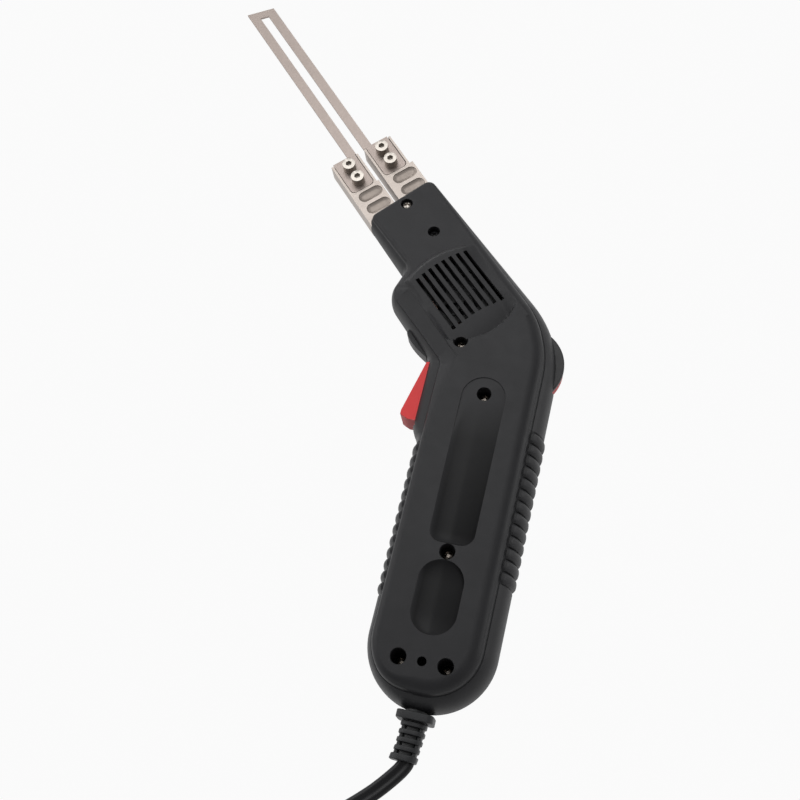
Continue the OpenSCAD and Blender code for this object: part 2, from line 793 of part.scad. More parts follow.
// Clamp blocks, in the head's frame: front block on the -X side
blocks_x = 0.1;
front_base_out = 1.1;
rear_base_out = 1.9;
pocket_off = 0.3;
shank_room = 1.4;
front_block_x = blocks_x - (block_gap + block_w) / 2;
rear_block_x = blocks_x + (block_gap + block_w) / 2;
front_shank_x = -nose_front + wall + shank_room + front_shank_w / 2;
rear_shank_x = nose_front - wall - rear_shank_w / 2;
block_foot = nose_len + seat_gap;
block_end = nose_len + block_l;
pocket_y = nose_len + pocket_out;
recess_z = block_t / 2 - recess_d;
cap_ys = [block_end - cap_inset, block_end - cap_inset - cap_pitch];
tab_end = block_end - tab_l;
module block(x, base_out, shank_x, shank_w) {
    difference() {
        union() {
            box([x - block_w / 2, block_foot, -block_t / 2], [x + block_w / 2, block_end, block_t / 2]);
            box([x, block_foot, -block_t / 2], [x + block_w / 2 + base_out, tab_end, block_t / 2]);
            box([shank_x - shank_w / 2, shank_in, -block_t / 2],
                [shank_x + shank_w / 2, block_foot + overrun, block_t / 2]);
        }
        rounded_tab(x, tab_w + 2 * recess_gap, tab_end - recess_gap, recess_z, block_t);
        for (k = [0, 1]) translate([x + base_out + pocket_off, pocket_y - k * pocket_pitch, block_t / 2 - pocket_d])
            rotate(90) stadium(-pocket_l / 2, pocket_l / 2, pocket_w / 2, block_t);
        for (y = cap_ys) translate([x, y, -block_t]) cylinder(r = cap_thread_r + running_gap, h = 2 * block_t);
    }
}
// A tab with round inner corners that runs out past the block's end
module rounded_tab(x, w, low, z, h) {
    box([x - w / 2, low + tab_round, z], [x + w / 2, block_end + 2 * overrun, z + h]);
    box([x - w / 2 + tab_round, low, z], [x + w / 2 - tab_round, low + 2 * tab_round, z + h]);
    for (s = [-1, 1]) translate([x + s * (w / 2 - tab_round), low + tab_round, z]) cylinder(r = tab_round, h = h);
}
module front_electrode() { color(silver) at_head() block(front_block_x, front_base_out, front_shank_x, front_shank_w); }
module rear_electrode() { color(silver) at_head() block(rear_block_x, rear_base_out, rear_shank_x, rear_shank_w); }

// The insulator fills the room between the two shanks
insulator_low = front_shank_x + front_shank_w / 2;
insulator_high = rear_shank_x - rear_shank_w / 2;
insulator_x = (insulator_low + insulator_high) / 2;
module electrode_insulator() {
    color(phenolic) at_head() box(
        [insulator_low, insulator_y - insulator_l / 2, -block_t / 2],
        [insulator_high, insulator_y + insulator_l / 2, block_t / 2]);
}

blade_z = recess_z;
blade_tip = block_end + blade_l;
blade_legs_x = -0.3;
module blade() {
    leg_low = blade_legs_x - blade_w / 2;
    leg_high = blade_legs_x + blade_w / 2;
    slant = tip_slant / blade_w;
    slot_low = blade_legs_x - blade_slot / 2;
    slot_high = blade_legs_x + blade_slot / 2;
    slot_top = blade_tip - tip_bridge;
    leg_foot = block_end + guide_gap;
    color(steel) at_head() difference() {
        union() {
            translate([0, 0, blade_z]) linear_extrude(blade_t) polygon([
                [leg_low, leg_foot], [slot_low, leg_foot],
                [slot_low, slot_top], [slot_high, slot_top - slant * blade_slot],
                [slot_high, leg_foot], [leg_high, leg_foot],
                [leg_high, blade_tip - tip_slant], [leg_low, blade_tip]]);
            for (x = [front_block_x, rear_block_x]) intersection() {
                rounded_tab(x, tab_w, tab_end, blade_z, blade_t);
                box([x - tab_w, tab_end, blade_z], [x + tab_w, block_end + overrun, blade_z + blade_t]);
            }
        }
        for (x = [front_block_x, rear_block_x]) for (y = cap_ys)
            translate([x, y, 0]) cylinder(r = cap_thread_r + guide_gap, h = block_t);
    }
}
module at_caps() { for (x = [front_block_x, rear_block_x]) for (y = cap_ys) translate([x, y, 0]) children(); }
cap_seat = blade_z + blade_t + washer_t;
hex_r = 1.75;
module blade_screws() {
    color(steel) at_head() at_caps() difference() {
        union() {
            translate([0, 0, cap_seat]) cylinder(r = cap_r, h = cap_h);
            translate([0, 0, -block_t / 2]) cylinder(r = cap_thread_r, h = cap_seat + block_t / 2 + cap_h / 2);
        }
        translate([0, 0, cap_seat + cap_h / 2]) cylinder(r = hex_r, h = cap_h, $fn = 6);
    }
}
washer_slit = 0.6;
module spring_washers() {
    color(steel) at_head() at_caps() translate([0, 0, blade_z + blade_t]) difference() {
        cylinder(r = cap_r - running_gap, h = washer_t);
        translate([0, 0, -overrun]) cylinder(r = cap_thread_r + running_gap, h = washer_t + 2 * overrun);
        box([0, -washer_slit / 2, -overrun], [cap_r + overrun, washer_slit / 2, washer_t + overrun]);
    }
}

// Trigger: a wedge that swings about its pin, with a pocket for its spring
trigger_nose_y = 42.5;
trigger_heel = 4.6;
trigger_heel_y = 39.5;
pocket_in = 33;
spring_r = 3;
spring_wire = 0.7;
spring_turns = 6;
module trigger() {
    color(red) seated() difference() {
        union() {
            translate([0, 0, -trigger_t / 2]) linear_extrude(trigger_t) polygon([
                [-pivot_x, pivot_y + pivot_r + overrun],
                [-trigger_wall, pivot_y + pivot_r],
                [-trigger_wall - trigger_out, trigger_nose_y],
                [-trigger_wall - trigger_out, trigger_heel_y + overrun],
                [-trigger_wall - trigger_heel, trigger_foot + overrun],
                [-trigger_wall - trigger_heel / 2, trigger_foot],
                [-trigger_in - wall, trigger_foot],
                [-trigger_in, trigger_foot + wall],
                [-trigger_in, pivot_y]]);
            translate([-pivot_x, pivot_y, -trigger_t / 2]) cylinder(r = pin_seat_r, h = trigger_t);
        }
        translate([-pivot_x, pivot_y, -trigger_t]) cylinder(r = pivot_r + running_gap, h = 2 * trigger_t);
        translate([-pocket_in, spring_y, 0]) rotate([0, 90, 0])
            cylinder(r = spring_r + spring_wire + guide_gap, h = trigger_wall);
    }
}
module trigger_pin() {
    color(steel) seated() translate([-pivot_x, pivot_y, -pin_half]) cylinder(r = pivot_r, h = 2 * pin_half);
}

// One unbroken helix of round wire along +Z, with a straight end of one wire at each end
wire_sides = 6;
curl_rings = 8;
function wire_ring(centre, radial, r) = [for (j = [0:wire_sides - 1]) let(a = 360 * j / wire_sides)
    centre + [0, 0, 1] * r * cos(a) + radial * r * sin(a)];
function curl_rings_of(r, wire, turns, h) = let(
    n = turns * curl_rings, rise = h - wire,
    point = function(k) [r * cos(360 * k / curl_rings), r * sin(360 * k / curl_rings), wire / 2 + rise * k / n],
    first = point(0), last = point(n), along = [0, 1, 0])
    concat(
        [wire_ring(first - along * wire, [1, 0, 0], wire / 2)],
        [for (k = [0:n]) wire_ring(point(k), [cos(360 * k / curl_rings), sin(360 * k / curl_rings), 0], wire / 2)],
        [wire_ring(last + along * wire, [1, 0, 0], wire / 2)]);
// A closed tube through rings of points
module tube(rings) {
    n = len(rings);
    m = len(rings[0]);
    sides = [for (i = [0:n - 2]) for (j = [0:m - 1]) let(
        a = i * m + j, b = i * m + (j + 1) % m) each [[a + m, b + m, b], [a + m, b, a]]];
    polyhedron([for (r = rings) each r],
        concat([[for (j = [0:m - 1]) j]], [[for (j = [m - 1:-1:0]) (n - 1) * m + j]], sides), convexity = 10);
}
module curl(r, wire, turns, h) { tube(curl_rings_of(r, wire, turns, h)); }
module trigger_spring() {
    color(steel) seated() translate([-pocket_in + seat_gap, spring_y, 0]) rotate([0, 90, 0])
        curl(spring_r, spring_wire, spring_turns, pocket_in + spring_post_x - 2 * seat_gap);
}

lock_flange = 1.8;
lock_flange_grow = 1;
lock_lift = 2 * guide_gap;
lock_arc_r = (lock_l * lock_l / 4 + lock_out * lock_out) / (2 * lock_out);
lock_stub = bulge_front - wall - lock_lift;
module lock_button() {
    color(charcoal) at_head() {
        intersection() {
            box([-bulge_front - lock_out, lock_along - lock_l / 2, -lock_t / 2],
                [-lock_stub, lock_along + lock_l / 2, lock_t / 2]);
            translate([-bulge_front - lock_out + lock_arc_r, lock_along, -lock_t])
                cylinder(r = lock_arc_r, h = 2 * lock_t, $fn = 96);
        }
        box([-lock_stub, lock_along - lock_l / 2 - lock_flange_grow + wall / 2, -lock_t / 2 - lock_flange_grow],
            [-lock_stub + lock_flange, lock_along + lock_l / 2 + lock_flange_grow, lock_t / 2 + lock_flange_grow]);
    }
}
lock_spring_r = 2.4;
lock_spring_wire = 0.6;
lock_spring_turns = 5;
module lock_spring() {
    low = -lock_stub + lock_flange + seat_gap;
    color(steel) at_head() translate([low, lock_along, 0]) rotate([0, 90, 0])
        curl(lock_spring_r, lock_spring_wire, lock_spring_turns, lock_post_x - seat_gap - low);
}

// Switch: its plunger rests just off the trigger's inner face
plunger_r = 2;
plunger_in = 5;
plunger_bore = 8;
plunger_under = 12.5;
plunger_y = pivot_y - plunger_under;
switch_face = switch_x - switch_w / 2;
module switch_body() {
    color(near_black) seated() difference() {
        box([switch_face, switch_y - switch_l / 2, switch_low],
            [switch_face + switch_w, switch_y + switch_l / 2, switch_low + switch_h]);
        translate([switch_face - overrun, plunger_y, 0]) rotate([0, 90, 0])
            cylinder(r = plunger_r + running_gap, h = plunger_bore + overrun);
    }
}
module switch_plunger() {
    low = -trigger_in + seat_gap;
    color(red) seated() translate([low, plunger_y, 0]) rotate([0, 90, 0])
        cylinder(r = plunger_r, h = switch_face + plunger_in - low);
}

// Dial: a black flange over a hub that carries the red band
band_step = 0.4;
band_t = 2.6;
band_r = dial_r - band_step;
band_in = band_r - band_t;
hub_bore = dial_shaft_r;
module dial_wheel() {
    color(near_black) seated() translate([dial_x, dial_y, 0]) difference() {
        union() {
            translate([0, 0, dial_t / 2 - flange_t]) cylinder(r = dial_r, h = flange_t, $fn = 96);
            translate([0, 0, -dial_t / 2]) cylinder(r = band_in, h = dial_t - flange_t / 2, $fn = 96);
        }
        translate([0, 0, -dial_t]) cylinder(r = hub_bore, h = 2 * dial_t);
    }
}
module dial_band() {
    color(red) seated() translate([dial_x, dial_y, -dial_t / 2]) difference() {
        cylinder(r = band_r, h = dial_t - flange_t, $fn = 96);
        translate([0, 0, -overrun]) cylinder(r = band_in, h = dial_t + overrun, $fn = 96);
    }
}
pot_bore = 4;
module dial_shaft() {
    low = pot_top - pot_bore;
    color(steel) seated() translate([dial_x, dial_y, low]) cylinder(r = dial_shaft_r, h = dial_t / 2 - low);
}
module potentiometer() {
    color(steel) seated() translate([dial_x, dial_y, pot_low]) difference() {
        cylinder(r = pot_r, h = pot_h);
        translate([0, 0, pot_h - pot_bore]) cylinder(r = dial_shaft_r + running_gap, h = pot_bore + overrun);
    }
}

// Control board on four posts, with its power transistor, heat sink and capacitor
part_gap = 3;
sink_w = 12;
sink_l = 4;
sink_h = 11;
cap_part_r = 4.5;
cap_part_h = 8;
module control_board() {
    color(board_green) seated() box(
        [-board_w / 2, board_y - board_l / 2, board_top_z - board_t],
        [board_w / 2, board_y + board_l / 2, board_top_z]);
}
module board_parts() {
    color(near_black) seated() {
        translate([-board_w / 4, board_y, board_top_z]) cylinder(r = cap_part_r, h = cap_part_h);
        box([part_gap / 2, board_y + part_gap, board_top_z],
            [part_gap / 2 + sink_w, board_y + part_gap + sink_l, board_top_z + sink_h]);
    }
}

// Transformer: a core with two windows, and the winding on its middle leg
leg_w = 10;
yoke_w = (core_w - leg_w) / 6;
core_top = core_low + core_h;
core_end = core_y + core_l / 2;
winding_gap = 0.3;
winding_out = 4;
yoke_l = core_l / 6;
window_w = (core_w - leg_w) / 2 - yoke_w;
module transformer_core() {
    color(steel) seated() difference() {
        box([-core_w / 2, core_y - core_l / 2, core_low], [core_w / 2, core_end, core_top]);
        for (s = [-1, 1]) translate([s * (leg_w + window_w) / 2 - window_w / 2, core_y - core_l / 2 + yoke_l,
            core_low - overrun]) cube([window_w, core_l - 2 * yoke_l, core_h + 2 * overrun]);
    }
}
bar_low = -block_t / 2 - bar_t;
bar_front_x = -9.5;
bar_rear_x = 8;
module transformer_winding() {
    g = winding_gap;
    low = core_y - core_l / 2 + yoke_l + g;
    high = core_end - yoke_l - g;
    color(copper) seated() for (s = [-1, 1])
        box([s > 0 ? leg_w / 2 : -leg_w / 2 - window_w + g, low, core_low + g],
            [s > 0 ? leg_w / 2 + window_w - g : -leg_w / 2, high, core_top - g]);
}

// A secondary bar: straight runs with a round knuckle at each corner, from the core's end to its clamp block
knuckle = 0.3;
module bar(points) {
    translate([0, 0, mid_z + bar_low]) {
        for (i = [0:len(points) - 2]) {
            d = points[i + 1] - points[i];
            translate(points[i]) rotate(atan2(d[1], d[0])) translate([0, -bar_w / 2, 0]) cube([norm(d), bar_w, bar_t]);
        }
        for (i = [1:len(points) - 1]) translate(points[i]) cylinder(r = bar_w / 2 + knuckle, h = bar_t);
    }
}
bar_start = core_end;
bar_hook = shank_in + bar_w;
front_bar_route = [[bar_front_x, bar_start], [bar_front_x, bend_y - overrun], head_point(front_shank_x, bar_hook)];
// The rear bar goes round the upper well and then beside the dial's control
rear_bends = [6.5, 14, 38];
bar_mid_x = -1.5;
rear_bar_route = [[bar_rear_x, bar_start], [bar_rear_x, mid_well_y + rear_bends[0]],
    [bar_mid_x, mid_well_y + rear_bends[1]], [bar_mid_x, mid_well_y + rear_bends[2]],
    head_point(rear_shank_x, bar_hook)];
module front_bar() { color(copper) bar(front_bar_route); }
module rear_bar() { color(copper) bar(rear_bar_route); }

// Fan: a square frame with a floor plate and axle, and the rotor that turns on it
fan_floor = 1.2;
fan_spoke = 2;
fan_clear = 0.5;
blade_pitch_angle = 35;
blade_thick = 0.8;
module at_fan() { translate([fan_mid[0], fan_mid[1], mid_z + fan_low]) rotate(bend_angle) children(); }
fan_axle_h = fan_t - fan_floor;
module fan_frame() {
    color(near_black) at_fan() {
        difference() {
            translate([-fan_w / 2, -fan_w / 2, 0]) cube([fan_w, fan_w, fan_t]);
            translate([0, 0, -overrun]) cylinder(r = fan_bore_r, h = fan_t + 2 * overrun);
        }
        cylinder(r = fan_hub_r, h = fan_floor);
        for (a = [0, 90]) rotate(a) translate([-fan_bore_r - fan_spoke / 2, -fan_spoke / 2, 0])
            cube([2 * fan_bore_r + fan_spoke, fan_spoke, fan_floor]);
        cylinder(r = fan_axle_r, h = fan_axle_h);
    }
}
rotor_low = fan_floor + seat_gap;
rotor_h = fan_t - rotor_low - seat_gap;
module fan_rotor() {
    tip = fan_bore_r - fan_clear;
    color(near_black) at_fan() translate([0, 0, rotor_low]) difference() {
        union() {
            cylinder(r = fan_hub_r, h = rotor_h);
            intersection() {
                for (k = [0:fan_blades - 1]) rotate(360 * k / fan_blades) translate([0, 0, rotor_h / 2])
                    rotate([blade_pitch_angle, 0, 0]) translate([fan_hub_r / 2, -rotor_h, -blade_thick / 2])
                        cube([tip, 2 * rotor_h, blade_thick]);
                cylinder(r = tip, h = rotor_h);
            }
        }
        translate([0, 0, -overrun]) cylinder(r = fan_axle_r + running_gap, h = fan_axle_h - rotor_low + overrun);
    }
}

// Strain relief: a neck through the wall, a flange outside it and a ribbed boot
neck_r = 5;
collar_r = 7;
collar_t = 2;
boot_flange_t = 2.5;
boot_rib_h = 1.3;
boot_core_r = boot_r - boot_rib_h;
boot_top = bottom_y - seat_gap;
boot_end = bottom_y - boot_l;
rib_fill_share = 0.6;
cord_gap = 0.2;
boot_rib_pitch = (boot_l - seat_gap - boot_flange_t) / boot_ribs;
collar_room = 1.6;
collar_y = bottom_y + wall + collar_room;
module strain_relief() {
    color(near_black) seated() difference() {
        translate([0, boot_top, 0]) rotate([90, 0, 0]) {
            cylinder(r = boot_flange_r, h = boot_flange_t);
            cylinder(r = boot_core_r, h = boot_l - seat_gap);
            for (k = [0:boot_ribs - 1])
                translate([0, 0, boot_flange_t + (k + 1) * boot_rib_pitch - boot_rib_pitch * rib_fill_share])
                    cylinder(r = boot_r, h = boot_rib_pitch * rib_fill_share);
            translate([0, 0, boot_top - collar_y]) cylinder(r = neck_r, h = collar_y - boot_top + overrun);
            translate([0, 0, boot_top - collar_y - collar_t]) cylinder(r = collar_r, h = collar_t);
        }
        box([-cord_w / 2 - cord_gap, boot_end - overrun, -cord_t / 2 - cord_gap],
            [cord_w / 2 + cord_gap, collar_y + collar_t + overrun, cord_t / 2 + cord_gap]);
    }
}

// Cord clamp: a bar over the cord on two posts
clamp_t = 3;
clamp_screw_r = 1.2;
clamp_screw_l = 6;
clamp_head_r = 2.2;
clamp_head_h = 1.6;
module cord_clamp() {
    color(near_black) seated() difference() {
        box([-clamp_x - clamp_post_r, clamp_y - clamp_w / 2, clamp_low],
            [clamp_x + clamp_post_r, clamp_y + clamp_w / 2, clamp_low + clamp_t]);
        for (x = [-1, 1]) translate([x * clamp_x, clamp_y, 0])
            cylinder(r = clamp_screw_r + running_gap, h = clamp_low + clamp_t + overrun);
    }
}
module clamp_screws() {
    color(steel) seated() for (x = [-1, 1]) translate([x * clamp_x, clamp_y, clamp_low + clamp_t])
        pan_screw(clamp_head_r, clamp_head_h, clamp_screw_r, clamp_t + clamp_screw_l - overrun);
}
tail_end = clamp_y + clamp_w;
module cord_tail() {
    color(near_black) seated() box([-cord_w / 2, route[0][1], -cord_t / 2], [cord_w / 2, tail_end, cord_t / 2]);
}
lead_r = 1;
module mains_leads() {
    board_edge = board_y - board_l / 2;
    color(red) seated() for (s = [-1, 1]) {
        x = s * cord_w / 4;
        translate([x, tail_end, 0]) rotate([-90, 0, 0]) cylinder(r = lead_r, h = part_gap);
        translate([x, tail_end + part_gap, 0]) sphere(r = lead_r);
        translate([x, tail_end + part_gap, board_top_z]) cylinder(r = lead_r, h = -board_top_z);
    }
}

// The cord's free stretch: middle of the cord, from inside the boot to the coil
// Each step is x, y from the boot's end, and a share of the parting plane's height
route_steps = [[0, 1, 1], [0, -0.5, 1], [-2, -4, 0.97], [-6, -9, 0.9], [-10.6, -14, 0.8],
    [-15.6, -18.6, 0.67], [-21.6, -23.6, 0.5], [-28, -28.6, 0.3], [-35, -34.2, 0.17], [-38, -37, 0.155]];
route = [for (s = route_steps) [s[0], boot_end + s[1], mid_z * s[2]]];
coil_x = -20;
coil_drop = 88;
coil_mid = [coil_x, boot_end - coil_drop];
coil_first = 125;
coil_turns_in = 3;
coil_turn = 0.5;
coil_tail_share = 0.08;
coil_tail = 42;
coil_turns = 2 * coil_turns_in + coil_tail_share;
loop_rings = 24;
tie_gap = 0.2;
coil_z = tie_t + tie_gap + cord_t / 2;
flat_share = 0.55;
// Corners of the cord's flat section, in halves of its thickness and width
cord_shares = [[0, -1], [1, -flat_share], [1, flat_share], [0, 1], [-1, flat_share], [-1, -flat_share]];

// Each turn keeps its radius for half a turn and draws in by one pitch over the other half
function drawn_in(t) = floor(t) + max(0, 2 * (t - floor(t)) - 1);
function coil_radius(t) = coil_r - coil_pitch * drawn_in(min(t, 2 * coil_turns_in + coil_turn - t));
function coil_height(t) = coil_z + coil_rise * min(1, max(0, (t - coil_turns_in) / coil_turn));
function coil_point(t) = let(a = coil_first + 360 * t)
    [coil_mid[0] + coil_radius(t) * cos(a), coil_mid[1] + coil_radius(t) * sin(a), coil_height(t)];
function cord_ring(centre, up, out) = [for (s = cord_shares) centre + up * s[0] * cord_t / 2 + out * s[1] * cord_w / 2];
function coil_ring(t) = let(a = coil_first + 360 * t) cord_ring(coil_point(t), [0, 0, 1], [cos(a), sin(a), 0]);
function coil_tangent(t) = let(a = coil_first + 360 * t) [-sin(a), cos(a), 0];
coil_count = ceil(coil_turns * loop_rings);
coil_ts = [for (k = [0:coil_count]) coil_turns * k / coil_count];
function straight_ring(t, reach) = [for (p = coil_ring(t)) p + coil_tangent(t) * reach];
coil_rings = concat([straight_ring(0, -cord_w)], [for (t = coil_ts) coil_ring(t)],
    [straight_ring(coil_turns, coil_tail)]);

// Least gap of the coil to itself: between turns side by side or one over the other
coil_points = [for (t = coil_ts) coil_point(t)];
near_rings = loop_rings / 2;
coil_gaps = [for (i = [0:coil_count]) for (j = [i + near_rings:1:coil_count]) let(d = coil_points[j] - coil_points[i])
    max(norm([d[0], d[1]]) - cord_w, abs(d[2]) - cord_t)];
echo(least_gap_of_coil = min(coil_gaps));

// The run has one ring at each of its points, square to its way
run_points = concat(route, [coil_point(0) - coil_tangent(0) * cord_w]);
function run_way(i) = unit(run_points[min(i + 1, len(run_points) - 1)] - run_points[max(i - 1, 0)]);
function run_ring(i) = let(
    way = i == len(run_points) - 1 ? coil_tangent(0) : i == 0 ? [0, -1, 0] : run_way(i),
    up = unit([0, 0, 1] - way * way[2]),
    out = cross(way, up))
    cord_ring(run_points[i], up, out);
module cord_run() { color(near_black) tube([for (i = [0:len(run_points) - 1]) run_ring(i)]); }
module cord_coil() { color(near_black) tube(coil_rings); }

// The tie goes round all the turns at one side of the coil
tie_angle = 305;
tie_turns = [for (k = [0:floor(coil_turns)]) k + (tie_angle - coil_first) / 360];
tie_radii = [for (t = tie_turns) if (t < coil_turns) coil_radius(t)];
tie_low = min(tie_radii) - cord_w / 2 - tie_gap - overrun / 2;
tie_high = max(tie_radii) + cord_w / 2 + tie_gap + overrun / 2;
tie_top = coil_z + coil_rise + cord_t / 2 + tie_gap;
module cord_tie() {
    color(near_black) translate([coil_mid[0], coil_mid[1], 0]) rotate(tie_angle) difference() {
        box([tie_low - tie_t, -tie_w / 2, 0], [tie_high + tie_t, tie_w / 2, tie_top + tie_t]);
        box([tie_low, -tie_w, tie_t], [tie_high, tie_w, tie_top]);
    }
}

// Plug: in line with the coil's outer end
plug_start = coil_point(coil_turns) + coil_tangent(coil_turns) * coil_tail;
plug_angle = coil_first + 360 * coil_turns;
plug_neck_l = 10;
plug_neck_w = 11;
plug_round = 3;
module at_plug() { translate(plug_start) rotate(plug_angle) children(); }
module plug_body() {
    z_low = -plug_start[2];
    color(near_black) at_plug() difference() {
        union() {
            box([-plug_neck_w / 2, 0, -plug_neck_w / 2], [plug_neck_w / 2, plug_neck_l + overrun, plug_neck_w / 2]);
            box([-plug_w / 2, plug_neck_l + plug_round, z_low], [plug_w / 2, plug_neck_l + plug_l, z_low + plug_h]);
            box([-plug_w / 2 + plug_round, plug_neck_l, z_low],
                [plug_w / 2 - plug_round, plug_neck_l + 2 * plug_round, z_low + plug_h]);
            for (s = [-1, 1]) translate([s * (plug_w / 2 - plug_round), plug_neck_l + plug_round, z_low])
                cylinder(r = plug_round, h = plug_h);
        }
        for (s = [-1, 1]) translate([s * pin_pitch / 2, plug_neck_l + plug_l - pin_root, 0]) rotate([-90, 0, 0])
            cylinder(r = pin_root_r, h = pin_root + overrun);
    }
}
pin_root = 8;
pin_root_r = 1.6;
module plug_pins() {
    color(steel) at_plug() for (s = [-1, 1])
        translate([s * pin_pitch / 2, plug_neck_l + plug_l, 0]) rotate([-90, 0, 0]) {
            translate([0, 0, -pin_root]) cylinder(r = pin_root_r, h = pin_root + overrun);
            cylinder(r = pin_r, h = pin_l);
        }
}

left_shell();
right_shell();
label_plate();
shell_screws();
blade();
front_electrode();
rear_electrode();
blade_screws();
spring_washers();
electrode_insulator();
trigger();
trigger_pin();
trigger_spring();
lock_button();
lock_spring();
switch_body();
switch_plunger();
dial_wheel();
dial_band();
dial_shaft();
potentiometer();
control_board();
board_parts();
transformer_core();
transformer_winding();
front_bar();
rear_bar();
fan_frame();
fan_rotor();
strain_relief();
cord_clamp();
clamp_screws();
cord_tail();
mains_leads();
cord_run();
cord_coil();
cord_tie();
plug_body();
plug_pins();
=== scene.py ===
import json
import math

import bmesh
import bpy
from mathutils import Matrix, Vector

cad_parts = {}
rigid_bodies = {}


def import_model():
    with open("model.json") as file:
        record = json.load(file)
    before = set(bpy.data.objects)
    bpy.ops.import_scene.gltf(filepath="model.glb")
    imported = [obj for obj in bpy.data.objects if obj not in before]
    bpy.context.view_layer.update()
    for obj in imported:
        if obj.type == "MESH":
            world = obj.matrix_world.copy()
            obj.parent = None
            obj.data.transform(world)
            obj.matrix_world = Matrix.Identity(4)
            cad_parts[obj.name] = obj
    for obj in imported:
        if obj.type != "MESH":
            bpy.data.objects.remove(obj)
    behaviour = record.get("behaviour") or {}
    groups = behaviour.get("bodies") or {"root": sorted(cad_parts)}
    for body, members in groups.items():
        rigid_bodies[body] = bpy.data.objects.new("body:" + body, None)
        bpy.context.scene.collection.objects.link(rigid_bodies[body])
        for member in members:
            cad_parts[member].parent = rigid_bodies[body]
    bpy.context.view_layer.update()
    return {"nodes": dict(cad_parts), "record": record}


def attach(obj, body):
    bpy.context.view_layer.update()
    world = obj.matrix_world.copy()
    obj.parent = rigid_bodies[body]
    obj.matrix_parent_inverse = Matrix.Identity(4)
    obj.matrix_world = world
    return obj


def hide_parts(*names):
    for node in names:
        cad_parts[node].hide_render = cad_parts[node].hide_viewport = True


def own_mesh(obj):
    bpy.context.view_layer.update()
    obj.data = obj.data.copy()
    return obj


for thing in list(bpy.data.objects):
    bpy.data.objects.remove(thing)
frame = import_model()
nodes = frame["nodes"]
scene = bpy.context.scene
MM = 0.001

# Camera at the photograph's angle
camera_data = bpy.data.cameras.new("photo_camera")
camera_data.lens = 50
camera_data.sensor_fit = "HORIZONTAL"
camera_data.sensor_width = 36
camera_data.clip_start = 0.01
camera_data.clip_end = 50
camera = bpy.data.objects.new("photo_camera", camera_data)
scene.collection.objects.link(camera)
right = Vector((0.96526, 0.23645, -0.1112))
up = Vector((-0.17367, 0.89853, 0.40309))
back = Vector((0.19522, -0.36977, 0.90838))
pose = Matrix((right, up, back)).transposed().to_4x4()
pose.translation = Vector((64.23, -153.26, 518.0)) * MM
camera.matrix_world = pose
scene.camera = camera
scene.view_settings.view_transform = "Standard"


# Shader helpers
def srgb(r, g, b):
    def lin(c):
        c = c / 255
        return c / 12.92 if c <= 0.04045 else ((c + 0.055) / 1.055) ** 2.4
    return (lin(r), lin(g), lin(b), 1)


def shade(color, k):
    return (color[0] * k, color[1] * k, color[2] * k, 1)


# Sockets of a Mix node that mixes colours
MIX_FACTOR, MIX_A, MIX_B, MIX_COLOR = 0, 6, 7, 2


